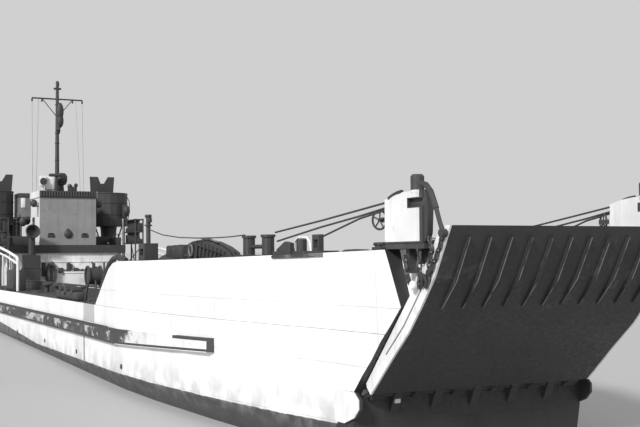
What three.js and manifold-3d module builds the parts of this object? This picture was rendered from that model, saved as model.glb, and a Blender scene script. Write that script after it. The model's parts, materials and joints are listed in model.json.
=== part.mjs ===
// A tank landing craft of the 1940s at half size: an open hold between two side tanks, a raked bow door
// hinged at its foot, and a bridge on a deckhouse aft.
// Millimetres of the half-size model, +X forward, +Y to port, +Z up. The origin is under the middle of
// the overall length, on the flat bottom.
import * as THREE from 'three';
import { mergeVertices } from 'three/addons/utils/BufferGeometryUtils.js';
import Module from 'manifold-3d';

const wasm = await Module();
wasm.setup();

// Driving sizes. M is one metre of the full-size craft at half size, so 4.6 * M is 4.6 m on the real one.
const M = 500;
const GAP = 0.3;
const LENGTH = 58.14 * M;
const HALF_BEAM = 4.6 * M;
const BELT_PROUD = 0.12 * M;
const BOW_HALF_WIDTH = 2.95 * M;
const BOW_X = LENGTH / 2;
const STERN_X = -LENGTH / 2;

// Places along the craft. The horn is the aft face of the sheave box at the bow.
const HORN_X = BOW_X - 2.03 * M;
const STEP_TOP_X = HORN_X - 14.0 * M;
const TAPER_LENGTH = 14.5 * M;
const HOLD_AFT_X = -13.6 * M;

// Heights.
const SIDE_DECK_Z = 3.2 * M;
const STEP_TOP_Z = 4.66 * M;
const BOW_DECK_Z = 4.89 * M;
const FLOOR_Z = 1.3 * M;
const TANK_DECK_THICK = 0.06 * M;

// The hold narrows towards the door.
const HOLD_HALF = 2.9 * M;
const DOORWAY_HALF = 2.35 * M;
const HOLD_NARROWS_X = HORN_X - 9.5 * M;
const DOORWAY_X = HORN_X - 3.0 * M;

// The bow door. It turns on a rod across the foot of the bow.
const HINGE_X = HORN_X - 1.36 * M;
const HINGE_Z = 1.85 * M;
const HINGE_ROD_R = 22.5;
const HINGE_EYE_R = 0.1 * M;
const DOOR_HALF = 2.83 * M;
const DOOR_RIBS = 11;
const DOOR_THICK = 0.22 * M;
const DOOR_HEAD_Z = 5.304 * M;

// Running clearances: a pin in its bore, and a door in its frame.
const PIN_CLEAR = 0.8;
const ROUND_SIDES = 16;
const DOOR_CLEAR = 12;

// The deckhouse and the bridge on it.
const HOUSE_AFT_X = -20.4 * M;
const HOUSE_FRONT_X = -14.9 * M;
const HOUSE_HALF = 2.9 * M;
const HOUSE_TOP_Z = 5.05 * M;
const WALL = 0.06 * M;
const BRIDGE_FRONT_X = -14.76 * M;
const BRIDGE_HALF = 3.3 * M;
const WING_HALF = 3.95 * M;
const BRIDGE_DECK_THICK = 0.12 * M;
const BRIDGE_EDGE_Z = 5.5 * M;
const BRIDGE_FLOOR_Z = HOUSE_TOP_Z + BRIDGE_DECK_THICK + 2 * GAP;
const WHEELHOUSE_FRONT_X = -14.84 * M;
const WHEELHOUSE_AFT_X = -17.5 * M;
const WHEELHOUSE_HALF = 1.59 * M;
const WHEELHOUSE_TOP_Z = 8.2 * M;
const TUB_X = -19.2 * M;
const TUB_Y = 3.45 * M;
const MAST_X = -17.86 * M;
const MAST_TOP_Z = 15.34 * M;

// The stern gear.
const SHAFT_Y = 1.3 * M;
const SHAFT_Z = 0.52 * M;
const PROPELLER_X = -26.4 * M;
const PROPELLER_R = 0.42 * M;
const RUDDER_X = -27.2 * M;
const RUDDER_STOCK_R = 32;
const SHAFT_PIN_R = 20;

const white = new THREE.MeshStandardMaterial({ color: 0xd8d8d2, roughness: 0.6, metalness: 0.1 });
const grey = new THREE.MeshStandardMaterial({ color: 0x7d8080, roughness: 0.65, metalness: 0.1 });
const dark = new THREE.MeshStandardMaterial({ color: 0x2b2c2c, roughness: 0.7, metalness: 0.2 });
const deckPaint = new THREE.MeshStandardMaterial({ color: 0x4a4c4b, roughness: 0.8, metalness: 0.1 });
const bottomPaint = new THREE.MeshStandardMaterial({ color: 0x33302f, roughness: 0.8, metalness: 0.1 });
const bronze = new THREE.MeshStandardMaterial({ color: 0x8a6a3c, roughness: 0.4, metalness: 0.9 });
const canvas = new THREE.MeshStandardMaterial({ color: 0x4c4b45, roughness: 0.9, metalness: 0 });

const part = new THREE.Group();

// Turns a closed geometry into a solid that can be joined and cut.
function solid(geometry) {
  const bare = geometry.index ? geometry.toNonIndexed() : geometry.clone();
  bare.deleteAttribute('normal');
  bare.deleteAttribute('uv');
  const merged = mergeVertices(bare, 1e-3);
  return new wasm.Manifold(new wasm.Mesh({
    numProp: 3,
    vertProperties: merged.attributes.position.array,
    triVerts: new Uint32Array(merged.index.array),
  }));
}

function add(name, shape, material) {
  const made = shape.getMesh();
  const positions = new Float32Array(made.numVert * 3);
  for (let i = 0; i < made.numVert; i++) {
    positions.set(made.vertProperties.subarray(i * made.numProp, i * made.numProp + 3), i * 3);
  }
  const geometry = new THREE.BufferGeometry();
  geometry.setAttribute('position', new THREE.BufferAttribute(positions, 3));
  geometry.setIndex(new THREE.BufferAttribute(made.triVerts, 1));
  geometry.computeVertexNormals();
  const mesh = new THREE.Mesh(geometry, material);
  mesh.name = name;
  part.add(mesh);
}

function join(shapes) {
  return shapes.reduce((all, next) => all.add(next));
}

function box(x0, x1, y0, y1, z0, z1) {
  const geometry = new THREE.BoxGeometry(x1 - x0, y1 - y0, z1 - z0);
  geometry.translate((x0 + x1) / 2, (y0 + y1) / 2, (z0 + z1) / 2);
  return solid(geometry);
}

// A box given by its middle in plan, its foot and its sizes.
function block(x, y, z, length, width, height) {
  return box(x - length / 2, x + length / 2, y - width / 2, y + width / 2, z, z + height);
}

function outline(points) {
  return new THREE.Shape(points.map(([u, v]) => new THREE.Vector2(u, v)));
}

function extrude(points, depth) {
  return new THREE.ExtrudeGeometry(outline(points), { depth, bevelEnabled: false, curveSegments: 12 });
}

// An outline in X and Z, carried across the craft from y0 to y1.
function acrossPrism(points, y0, y1) {
  const geometry = extrude(points, y1 - y0);
  geometry.rotateX(Math.PI / 2);
  geometry.translate(0, y1, 0);
  return solid(geometry);
}

// An outline in X and Y, carried up from z0 to z1.
function uprightPrism(points, z0, z1) {
  const geometry = extrude(points, z1 - z0);
  geometry.translate(0, 0, z0);
  return solid(geometry);
}

// A round bar between two points.
function bar(from, to, radius, sides = 12, endRadius = radius) {
  const a = new THREE.Vector3(...from);
  const b = new THREE.Vector3(...to);
  const along = b.clone().sub(a);
  const geometry = new THREE.CylinderGeometry(endRadius, radius, along.length(), sides);
  geometry.applyQuaternion(new THREE.Quaternion().setFromUnitVectors(
    new THREE.Vector3(0, 1, 0), along.clone().normalize()));
  geometry.translate(...a.add(b).multiplyScalar(0.5).toArray());
  return solid(geometry);
}

// A turned shape: [radius, height] pairs about an upright axis at x, y.
function turned(profile, x, y, z, sides = 20) {
  const geometry = new THREE.LatheGeometry(profile.map(([r, h]) => new THREE.Vector2(r, h)), sides);
  geometry.rotateX(Math.PI / 2);
  geometry.translate(x, y, z);
  return solid(geometry);
}

function ball(x, y, z, radius) {
  const geometry = new THREE.SphereGeometry(radius, 10, 6);
  geometry.translate(x, y, z);
  return solid(geometry);
}

function mirrored(shape) {
  return shape.mirror([0, 1, 0]);
}

// Half width of the hull at the deck: straight sides, then the long taper of the bow.
function hullHalf(x) {
  const share = Math.min(1.1, Math.max(0, (x - (HORN_X - TAPER_LENGTH)) / TAPER_LENGTH));
  return HALF_BEAM - (HALF_BEAM - BOW_HALF_WIDTH) * share ** 1.5;
}

function raisedDeck(x) {
  const share = Math.min(1, (x - STEP_TOP_X) / (HORN_X - STEP_TOP_X));
  return STEP_TOP_Z + (BOW_DECK_Z - STEP_TOP_Z) * share ** 1.4;
}

// Hull sections as [x, deck half width, deck z, chine half width, chine z, bottom half width, bottom z].
const sternSections = [
  [-29.07, 1.75, 3.36, 1.45, 1.95, 1.15, 1.80],
  [-28.80, 2.65, 3.32, 2.20, 1.75, 1.80, 1.55],
  [-27.80, 3.45, 3.26, 3.00, 1.60, 2.50, 1.30],
  [-26.00, 4.10, 3.20, 3.70, 1.45, 3.10, 0.95],
  [-22.50, 4.50, 3.20, 4.35, 1.30, 3.65, 0.40],
  [-18.00, 4.60, 3.20, 4.60, 1.18, 4.00, 0.00],
].map((row) => row.map((value) => value * M));

// Bow sections as [x from the horn, deck z, chine in from the deck's edge, chine z, bottom z, bottom in].
const bowSections = [
  [-16.9, 3.20, 0.02, 1.15, 0.00, 0.60],
  [-15.7, 4.06, 0.02, 1.15, 0.00, 0.60],
  [-15.2, 4.39, 0.02, 1.15, 0.00, 0.60],
  [-14.7, 4.58, 0.02, 1.15, 0.00, 0.60],
  [-14.0, 4.66, 0.02, 1.15, 0.00, 0.60],
  [-11.5, 4.68, 0.02, 1.15, 0.00, 0.60],
  [-9.0, 4.71, 0.03, 1.15, 0.02, 0.60],
  [-6.5, 4.755, 0.06, 1.15, 0.08, 0.54],
  [-4.0, 4.80, 0.14, 1.17, 0.20, 0.44],
  [-2.0, 4.845, 0.26, 1.22, 0.36, 0.40],
  [-0.7, 4.875, 0.18, 1.30, 0.46, 0.32],
  [0.0, 4.89, 0.10, 1.34, 0.52, 0.24],
  [1.7, 4.89, 0.04, 1.50, 0.60, 0.18],
].map((row) => row.map((value) => value * M));

function bowSection([fromHorn, deckZ, chineIn, chineZ, bottomZ, bottomIn]) {
  const x = HORN_X + fromHorn;
  const half = hullHalf(x);
  return [x, half, deckZ, half - chineIn, chineZ, half - bottomIn, bottomZ];
}

// A solid through the hull sections, each closed at the deck. Its two sides are cut into triangles alike.
function hullLoft(sections) {
  const positions = [];
  const faces = [];
  const count = 6;
  for (const [x, deckHalf, deckZ, chineHalf, chineZ, bottomHalf, bottomZ] of sections) {
    const ring = [
      [-deckHalf, deckZ], [-chineHalf, chineZ], [-bottomHalf, bottomZ],
      [bottomHalf, bottomZ], [chineHalf, chineZ], [deckHalf, deckZ],
    ];
    ring.forEach(([y, z]) => positions.push(x, y, z));
  }
  for (let s = 0; s + 1 < sections.length; s++) {
    for (let i = 0; i < count; i++) {
      const a = s * count + i;
      const b = s * count + (i + 1) % count;
      if (i < 3) faces.push(a, b, b + count, a, b + count, a + count);
      else faces.push(a, b, a + count, b, b + count, a + count);
    }
  }
  const last = (sections.length - 1) * count;
  for (let i = 1; i + 1 < count; i++) {
    faces.push(0, i + 1, i, last, last + i, last + i + 1);
  }
  const geometry = new THREE.BufferGeometry();
  geometry.setAttribute('position', new THREE.Float32BufferAttribute(positions, 3));
  geometry.setIndex(faces);
  return solid(geometry);
}

// The bow's front edge, from the hinge up. The door lies forward of it.
const JOINT_SLOPE = 0.96;
const JOINT_AFT = 1.49 * M;
const STEM_X = HORN_X - 1.5 * M;
const STEM_TOP_Z = 1.45 * M;
const SILL_Z = HINGE_Z - 0.02 * M;
const INNER_WALL_OUT = 2.6 * M;

function jointX(z) {
  return HORN_X - JOINT_AFT + JOINT_SLOPE * (z - HINGE_Z);
}

function holdShape() {
  const edge = [
    [HOLD_AFT_X, HOLD_HALF],
    [HOLD_NARROWS_X, HOLD_HALF],
    [DOORWAY_X, DOORWAY_HALF],
    [BOW_X + M, DOORWAY_HALF],
  ];
  const far = edge.map(([x, y]) => [x, -y]).reverse();
  return uprightPrism([...edge.reverse(), ...far.reverse()], FLOOR_Z, 7 * M);
}

function hullShape() {
  const whole = hullLoft([...sternSections, ...bowSections.map(bowSection)]);
  const ahead = acrossPrism([
    [jointX(6 * M), 6 * M],
    [jointX(HINGE_Z), HINGE_Z],
    [STEM_X, STEM_TOP_Z],
    [STEM_X, -M],
    [BOW_X + M, -M],
    [BOW_X + M, 6 * M],
  ], -5 * M, 5 * M);
  const notch = acrossPrism([
    [HORN_X + 0.4 * M, 3.62 * M],
    [HORN_X + 3 * M, 3.62 * M],
    [HORN_X + 3 * M, 6 * M],
    [HORN_X - 0.14 * M, 6 * M],
    [HORN_X - 0.14 * M, 4.95 * M],
  ], INNER_WALL_OUT, 5 * M);
  const eyeRoom = bar([HINGE_X, -2.8 * M, HINGE_Z], [HINGE_X, 2.8 * M, HINGE_Z], HINGE_EYE_R + 0.04 * M, 16);
  return whole.subtract(join([ahead, notch, mirrored(notch), holdShape(), eyeRoom]));
}

const hull = hullShape();
const hullRaised = hull.translate([0, 0, GAP]);
const hullLowered = hull.translate([0, 0, -GAP]);

// What is above the deck of a fitting that stands on it, and what is below the bottom of one that hangs.
function onDeck(shape) {
  return shape.subtract(hullRaised);
}

function underHull(shape) {
  return shape.subtract(hullLowered);
}

function addHull() {
  const forward = [HOLD_AFT_X, BOW_X + M];
  const high = 7 * M;
  const side = 6 * M;
  add('hull_bottom', hull.intersect(box(...forward, -side, side, -M, FLOOR_Z)), bottomPaint);
  const starboardTank = hull.intersect(box(...forward, -side, 0, FLOOR_Z + GAP, high));
  add('side_tank_starboard', starboardTank, white);
  add('side_tank_port', mirrored(starboardTank), white);
  let stern = hull.intersect(box(STERN_X - M, HOLD_AFT_X - GAP, -side, side, -M, high));
  for (const y of [-SHAFT_Y, SHAFT_Y]) {
    stern = stern.subtract(bar([RUDDER_X, y, 0], [RUDDER_X, y, 1.9 * M], RUDDER_STOCK_R + PIN_CLEAR,
      ROUND_SIDES));
  }
  add('stern_hull', stern, white);
}

// The floor of the hold: plating that climbs to the sill at the door.
function addTankDeck() {
  const bottom = FLOOR_Z + GAP;
  const top = bottom + TANK_DECK_THICK;
  const half = DOORWAY_HALF - GAP;
  const rampFootX = HORN_X - 7.5 * M;
  const edge = [
    [STEM_X, half],
    [DOORWAY_X, half],
    [HOLD_NARROWS_X, HOLD_HALF - 2 * GAP],
    [HOLD_AFT_X + GAP, HOLD_HALF - 2 * GAP],
  ];
  const far = edge.map(([x, y]) => [x, -y]).reverse();
  const plating = uprightPrism([...edge, ...far], bottom, top);
  const ramp = acrossPrism([
    [rampFootX, bottom],
    [STEM_X, bottom],
    [STEM_X, STEM_TOP_Z],
    [jointX(SILL_Z), SILL_Z],
    [jointX(SILL_Z) - 0.5 * M, SILL_Z],
    [rampFootX, top],
  ], -half, half);
  add('tank_deck', plating.add(ramp), deckPaint);
}

// Low coamings along both edges of the hold, lapped on its walls, from the house to the top of the step.
function addCoamings() {
  const high = 0.34 * M;
  const lap = 0.16 * M;
  const aftX = HOLD_AFT_X + 0.4 * M;
  const foreX = HORN_X - 13.2 * M;
  const deckLine = [[-16.9, 3.2], [-15.7, 4.06], [-15.2, 4.39], [-14.7, 4.58], [-14, 4.66]];
  const top = [[-14.3, 4.9], [-15.1, 4.78], [-15.8, 4.44], [-17, 3.54]];
  const place = ([forward, z]) => [HORN_X + forward * M, z * M];
  const lapped = ([x, z]) => [x, z - lap];
  const coaming = acrossPrism([
    [aftX, SIDE_DECK_Z - lap], ...deckLine.map(place).map(lapped), [foreX, STEP_TOP_Z - lap],
    [foreX, STEP_TOP_Z + 0.12 * M], ...top.map(place), [aftX, SIDE_DECK_Z + high],
  ], -HOLD_HALF + GAP, -HOLD_HALF + 0.07 * M);
  addPair('hold_coaming', coaming, dark);
}

// The rubbing strake along each side, from the stern to abreast of the taper, where it rises.
function addBelting() {
  const endX = 19.88 * M;
  const riseX = 13 * M;
  const side = acrossPrism([
    [STERN_X, 2.12 * M], [riseX, 2.1 * M], [endX, 2.35 * M],
    [endX, 2.71 * M], [riseX, 2.56 * M], [STERN_X, 2.6 * M],
  ], -6 * M, 0);
  const sternStations = sternSections.slice(1).map(([x, half]) => [x, half]);
  const bowStations = [12.8, 14.5, 16, 17.5, 19, 19.7].map((x) => [x * M, hullHalf(x * M)]);
  const stations = [...sternStations, ...bowStations];
  const outer = stations.map(([x, half]) => [x, -half - BELT_PROUD]);
  const inner = stations.map(([x, half]) => [x, -half + 0.6 * M]).reverse();
  const end = [endX, -hullHalf(endX)];
  const strip = uprightPrism([...outer, end, ...inner], 2 * M, 3 * M).intersect(side);
  const outside = strip.subtract(hull.translate([0, -1.5 * GAP, 0])).decompose();
  const belt = outside.find((piece) => piece.boundingBox().min[1] < -HALF_BEAM);
  add('belting_starboard', belt, dark);
  add('belting_port', mirrored(belt), dark);
}

// The seal round the doorway, on the bow's front edge: two slanted posts and the sill between them.
function addDoorSeal() {
  const depth = 0.12 * M;
  const footZ = 2.5 * M;
  const headZ = 4.3 * M;
  const post = acrossPrism([
    [jointX(footZ) + GAP, footZ],
    [jointX(footZ) + depth, footZ],
    [jointX(headZ) + depth, headZ],
    [jointX(headZ) + GAP, headZ],
  ], -2.58 * M, -2.4 * M);
  add('door_seal_starboard', post, white);
  add('door_seal_port', mirrored(post), white);
}

// Hinge rod across the bow, carried by lugs on the sill, and the door that turns on it.
const HINGE_PITCH = 1.0 * M;
const RIB_HALF = 0.022 * M;
const FLANGE_THICK = 0.05 * M;
const FLANGE_FOOT_Z = 2.12 * M;
const FLANGE_CLEAR = 0.03 * M;

function addHinge() {
  const end = DOOR_HALF - 0.06 * M;
  const rod = bar([HINGE_X, -end, HINGE_Z], [HINGE_X, end, HINGE_Z], HINGE_ROD_R, ROUND_SIDES);
  const lugs = [-2, -1, 0, 1, 2].map((step) => acrossPrism([
    [STEM_X + GAP, STEM_TOP_Z],
    [HINGE_X + 0.02 * M, HINGE_Z - 0.11 * M],
    [HINGE_X + 0.09 * M, HINGE_Z],
    [HINGE_X, HINGE_Z + 0.09 * M],
    [jointX(SILL_Z) + GAP, SILL_Z],
  ], step * HINGE_PITCH - 0.1 * M, step * HINGE_PITCH + 0.1 * M));
  add('door_hinge_rod', join([rod, ...lugs]), dark);
}

// The door's outer face from foot to head as [forward of the horn, z].
const doorFace = [[-1.02, 1.914], [-0.19, 2.664], [0.51, 3.265], [0.99, 3.786], [1.45, 4.322], [2.03, 5.304]]
  .map(([forward, z]) => [HORN_X + forward * M, z * M]);

// The outer face moved inward by a distance square to the door's mean slope.
function doorInside(depth) {
  const [[footX, footZ]] = doorFace;
  const slope = Math.atan2(DOOR_HEAD_Z - footZ, BOW_X - footX);
  return doorFace.map(([x, z]) => [x - depth * Math.sin(slope), z + depth * Math.cos(slope)]);
}

function addDoor() {
  let door = acrossPrism([...doorFace, ...doorInside(DOOR_THICK).reverse()], -DOOR_HALF, DOOR_HALF)
    .intersect(box(0, BOW_X, -DOOR_HALF, DOOR_HALF, 0, DOOR_HEAD_Z));
  const flange = [
    ...doorFace,
    [jointX(DOOR_HEAD_Z) - 0.1 * M, DOOR_HEAD_Z],
    [jointX(4.7 * M) + FLANGE_CLEAR, 4.7 * M],
    [jointX(FLANGE_FOOT_Z) + FLANGE_CLEAR, FLANGE_FOOT_Z],
  ];
  for (const y of [-DOOR_HALF, DOOR_HALF - FLANGE_THICK]) {
    door = door.add(acrossPrism(flange, y, y + FLANGE_THICK));
  }
  const [, , , knuckle, , head] = doorFace;
  const ribOutline = [
    [knuckle[0] - 0.05 * M, knuckle[1]],
    [knuckle[0], knuckle[1] - 0.05 * M],
    [doorFace[4][0] + 0.06 * M, doorFace[4][1] - 0.04 * M],
    [head[0] - 0.06 * M, head[1] - 0.22 * M],
    [head[0] - 0.14 * M, head[1] - 0.2 * M],
    [doorFace[4][0] - 0.05 * M, doorFace[4][1] + 0.04 * M],
  ];
  const ribPitch = 2 * DOOR_HALF / (DOOR_RIBS + 1);
  for (let i = 1; i <= DOOR_RIBS; i++) {
    const y = -DOOR_HALF + i * ribPitch;
    door = door.add(acrossPrism(ribOutline, y - RIB_HALF, y + RIB_HALF));
  }
  for (const step of [-2.5, -1.5, -0.5, 0.5, 1.5, 2.5]) {
    const y = step * HINGE_PITCH;
    const half = 0.16 * M;
    const eye = bar([HINGE_X, y - half, HINGE_Z], [HINGE_X, y + half, HINGE_Z], HINGE_EYE_R, 12);
    const arm = acrossPrism([
      [HINGE_X - 0.03 * M, HINGE_Z + 0.07 * M],
      [HINGE_X + 0.07 * M, HINGE_Z - 0.06 * M],
      [HORN_X - 0.93 * M, 2.0 * M],
      [HORN_X - 1.12 * M, 2.1 * M],
    ], y - half, y + half);
    door = door.add(eye).add(arm);
  }
  const bore = bar([HINGE_X, -DOOR_HALF, HINGE_Z], [HINGE_X, DOOR_HALF, HINGE_Z], HINGE_ROD_R + PIN_CLEAR,
    ROUND_SIDES);
  add('bow_door', door.subtract(bore), dark);
}

// At each side of the bow: a thin sheave box on posts, with a round head on it, and a spoked wheel abaft.
function addHorns() {
  const outer = -BOW_HALF_WIDTH;
  const inner = -2.78 * M;
  const body = acrossPrism([
    [HORN_X - 0.14 * M, 5 * M],
    [HORN_X + 1.28 * M, 5.0 * M],
    [HORN_X + 1.28 * M, 5.99 * M],
    [HORN_X + 0.6 * M, 5.98 * M],
    [HORN_X + 0.2 * M, 5.94 * M],
    [HORN_X - 0.14 * M, 5.86 * M],
  ], outer, inner);
  const slot = box(HORN_X + 0.74 * M, HORN_X + 2 * M, outer - M, outer + 0.08 * M, 5.68 * M, 5.84 * M);
  const head = turned([[0, 0], [0.132, 0], [0.132, 0.31], [0.1, 0.35], [0, 0.35]]
    .map(([r, h]) => [r * M, h * M]), HORN_X + 0.92 * M, -2.83 * M, 5.95 * M, 14);
  const foot = box(HORN_X - 0.14 * M, HORN_X + 1.3 * M, outer + 0.02 * M, -2.6 * M,
    BOW_DECK_Z + GAP, 5.01 * M);
  const posts = [[0.42, 4.42], [0.86, 4.6]].map(([forward, footZ]) => box(HORN_X + forward * M,
    HORN_X + (forward + 0.12) * M, -2.8 * M, -INNER_WALL_OUT - GAP, footZ * M, BOW_DECK_Z + GAP + 1));
  const [wheelX, wheelY, wheelZ] = [HORN_X - 0.47 * M, -2.88 * M, 5.48 * M];
  const wheelR = 0.19 * M;
  const wheelTurn = Math.PI / 9;
  const rim = new THREE.TorusGeometry(wheelR, 0.024 * M, 6, 18);
  rim.rotateX(Math.PI / 2);
  rim.rotateZ(wheelTurn);
  rim.translate(wheelX, wheelY, wheelZ);
  const spokes = [0, 1, 2, 3, 4].map((i) => {
    const angle = 2 * Math.PI * (i + 0.2) / 5;
    const along = wheelR * Math.cos(angle);
    return bar([wheelX, wheelY, wheelZ], [wheelX + along * Math.cos(wheelTurn),
      wheelY + along * Math.sin(wheelTurn), wheelZ + wheelR * Math.sin(angle)], 0.016 * M, 6);
  });
  const hub = bar([wheelX, wheelY - 0.03 * M, wheelZ], [wheelX, inner, wheelZ], 0.035 * M, 10);
  const bracket = box(wheelX - 0.04 * M, HORN_X - 0.1 * M, -2.83 * M, inner,
    wheelZ - 0.05 * M, wheelZ + 0.05 * M);
  const wheel = [solid(rim), ...spokes, hub, bracket];
  const horn = onDeck(join([body.subtract(slot), head, foot, ...posts, ...wheel]));
  add('horn_starboard', horn, white);
  add('horn_port', mirrored(horn), white);
}

// Fittings that stand on the raised deck, built to starboard and mirrored to port.
function addPair(name, shape, material) {
  add(`${name}_starboard`, shape, material);
  add(`${name}_port`, mirrored(shape), material);
}

function addDeckGear() {
  const bittsX = HORN_X - 5.58 * M;
  const bittsY = -3.4 * M;
  const bittsZ = raisedDeck(bittsX) - 0.05 * M;
  const posts = [-0.6, 0.6].flatMap((along) => {
    const x = bittsX + along * M;
    return [
      bar([x, bittsY, bittsZ], [x, bittsY, bittsZ + 0.54 * M], 0.15 * M, 12),
      bar([x, bittsY, bittsZ + 0.5 * M], [x, bittsY, bittsZ + 0.56 * M], 0.18 * M, 12),
    ];
  });
  const base = block(bittsX, bittsY, bittsZ, 1.9 * M, 0.44 * M, 0.08 * M);
  const crossZ = bittsZ + 0.28 * M;
  const cross = bar([bittsX - 0.7 * M, bittsY, crossZ], [bittsX + 0.7 * M, bittsY, crossZ], 0.05 * M, 10);
  addPair('bow_bitts', onDeck(join([base, ...posts, cross])), dark);

  const leadZ = raisedDeck(HORN_X - 3.25 * M) - 0.05 * M;
  const edge = [-4.25, -3.25, -2.25].map((forward) => HORN_X + forward * M);
  const sole = uprightPrism([
    ...edge.map((x) => [x, -hullHalf(x) + 0.02 * M]),
    ...edge.map((x) => [x, -hullHalf(x) + 0.42 * M]).reverse(),
  ], leadZ, leadZ + 0.11 * M);
  const rollerX = HORN_X - 3.37 * M;
  const roller = bar([rollerX, -3.27 * M, leadZ], [rollerX, -3.27 * M, leadZ + 0.38 * M], 0.12 * M, 14);
  const lever = acrossPrism([
    [HORN_X - 4.22 * M, leadZ + 0.05 * M],
    [HORN_X - 3.44 * M, leadZ + 0.05 * M],
    [HORN_X - 3.44 * M, leadZ + 0.29 * M],
    [HORN_X - 3.74 * M, leadZ + 0.33 * M],
    [HORN_X - 4.22 * M, leadZ + 0.15 * M],
  ], -3.52 * M, -3.42 * M);
  const [eyeX, eyeY] = [HORN_X - 2.8 * M, -3.14 * M];
  const eye = block(eyeX, eyeY, leadZ, 0.34 * M, 0.12 * M, 0.47 * M);
  const eyeHole = block(eyeX, eyeY, leadZ + 0.18 * M, 0.2 * M, M, 0.18 * M);
  addPair('bow_fairlead', onDeck(join([sole, roller, lever, eye]).subtract(eyeHole)), dark);

  const squareX = HORN_X - 12.45 * M;
  const squareY = -4.1 * M;
  const squareZ = raisedDeck(squareX) - 0.05 * M;
  const square = block(squareX, squareY, squareZ, 0.62 * M, 0.42 * M, 0.56 * M);
  const mouth = block(squareX, squareY, squareZ + 0.2 * M, 0.36 * M, M, 0.2 * M);
  const pole = bar([squareX, squareY, squareZ + 0.5 * M], [squareX, squareY, squareZ + 1.42 * M],
    0.07 * M, 10);
  addPair('square_fairlead', onDeck(join([square.subtract(mouth), pole])), dark);

  const gearX = HORN_X - 9.5 * M;
  const gearZ = raisedDeck(gearX);
  const heap = acrossPrism([
    [gearX - 2.55 * M, gearZ - 0.2 * M],
    [gearX + 2.55 * M, gearZ - 0.2 * M],
    [gearX + 2.55 * M, gearZ + 0.06 * M],
    [gearX + 2.3 * M, gearZ + 0.26 * M],
    [gearX + 1.9 * M, gearZ + 0.4 * M],
    [gearX + 1.1 * M, gearZ + 0.5 * M],
    [gearX - 0.4 * M, gearZ + 0.52 * M],
    [gearX - 0.85 * M, gearZ + 0.38 * M],
    [gearX - 2.55 * M, gearZ + 0.36 * M],
  ], -3.72 * M, -3.32 * M);
  addPair('stowed_gear', onDeck(heap), dark);
}

// A door in a side wall to starboard: panel, two straps with eyes, and the wall's pins. Its hinge is at
// the forward edge, outside the wall.
const DOOR_PIN_R = 7;
const DOOR_EYE_R = 14;
const DOOR_EYE_OUT = DOOR_EYE_R + 1;
const DOOR_EYE_HEIGHT = 50;

function sideDoor({ hingeX, footZ, width, height, wallY }) {
  const hingeY = wallY - DOOR_EYE_OUT;
  const levels = [footZ + 0.15 * height, footZ + 0.75 * height];
  const frame = box(hingeX - width, hingeX, wallY - M, wallY + M, footZ, footZ + height);
  let panel = box(hingeX - width + DOOR_CLEAR, hingeX - DOOR_CLEAR, wallY, wallY + WALL,
    footZ + DOOR_CLEAR, footZ + height - DOOR_CLEAR);
  const pins = [];
  for (const z of levels) {
    const top = z + DOOR_EYE_HEIGHT;
    panel = panel.add(box(hingeX - 100, hingeX - 6, hingeY - 5, wallY + 1, z, top));
    panel = panel.add(bar([hingeX, hingeY, z], [hingeX, hingeY, top], DOOR_EYE_R, 10));
    pins.push(bar([hingeX, hingeY, z - 30], [hingeX, hingeY, top - 8], DOOR_PIN_R, ROUND_SIDES));
    pins.push(box(hingeX - 10, hingeX + 25, hingeY - 10, wallY + 5, z - 31, z - 1));
  }
  const bores = levels.map((z) => bar([hingeX, hingeY, z - 40], [hingeX, hingeY, z + DOOR_EYE_HEIGHT + 10],
    DOOR_PIN_R + PIN_CLEAR, ROUND_SIDES));
  return { frame, panel: panel.subtract(join(bores)), pins: join(pins) };
}

function shell(x0, x1, half, z0, z1) {
  const outside = box(x0, x1, -half, half, z0, z1);
  return outside.subtract(box(x0 + WALL, x1 - WALL, -half + WALL, half - WALL, z0 - M, z1 + M));
}

// Cuts both doors of a house out of its walls, hangs them, and adds the two panels.
function hangDoors(name, walls, place) {
  const { frame, panel, pins } = sideDoor(place);
  addPair(name, panel, dark);
  return walls.subtract(frame).subtract(mirrored(frame)).add(pins).add(mirrored(pins));
}

function addDeckhouse() {
  let house = shell(HOUSE_AFT_X, HOUSE_FRONT_X, HOUSE_HALF, SIDE_DECK_Z + GAP, HOUSE_TOP_Z);
  house = hangDoors('house_door', house, {
    hingeX: -16.2 * M,
    footZ: SIDE_DECK_Z + 0.2 * M,
    width: 0.75 * M,
    height: 1.5 * M,
    wallY: -HOUSE_HALF,
  });
  add('deckhouse', house, white);
}

// The bridge deck rests on the house and on pillars, with a low fascia round its edge.
function addBridgeDeck() {
  const z0 = HOUSE_TOP_Z + GAP;
  const edge = (inset) => {
    const side = [
      [BRIDGE_FRONT_X - inset, BRIDGE_HALF - inset],
      [-17.4 * M, BRIDGE_HALF - inset],
      [-17.9 * M, WING_HALF - inset],
      [-20.5 * M + inset, WING_HALF - inset],
    ];
    return [...side, ...side.map(([x, y]) => [x, -y]).reverse()];
  };
  const plate = uprightPrism(edge(0), z0, z0 + BRIDGE_DECK_THICK);
  const fascia = uprightPrism(edge(0), z0, BRIDGE_EDGE_Z)
    .subtract(uprightPrism(edge(0.05 * M), z0 - M, 6 * M));
  const ladderGap = box(-21 * M, -20.2 * M, -0.4 * M, 0.4 * M, z0 + BRIDGE_DECK_THICK, 6 * M);
  const pillars = [[-15.0, 3.2], [-17.2, 3.2], [-18.1, 3.8], [-20.3, 3.8]].flatMap(([x, y]) => [-y, y].map(
    (side) => bar([x * M, side * M, SIDE_DECK_Z + GAP], [x * M, side * M, z0 + 5], 0.06 * M, 10)));
  add('bridge_deck', join([plate, fascia.subtract(ladderGap), ...pillars]), deckPaint);
}

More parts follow.
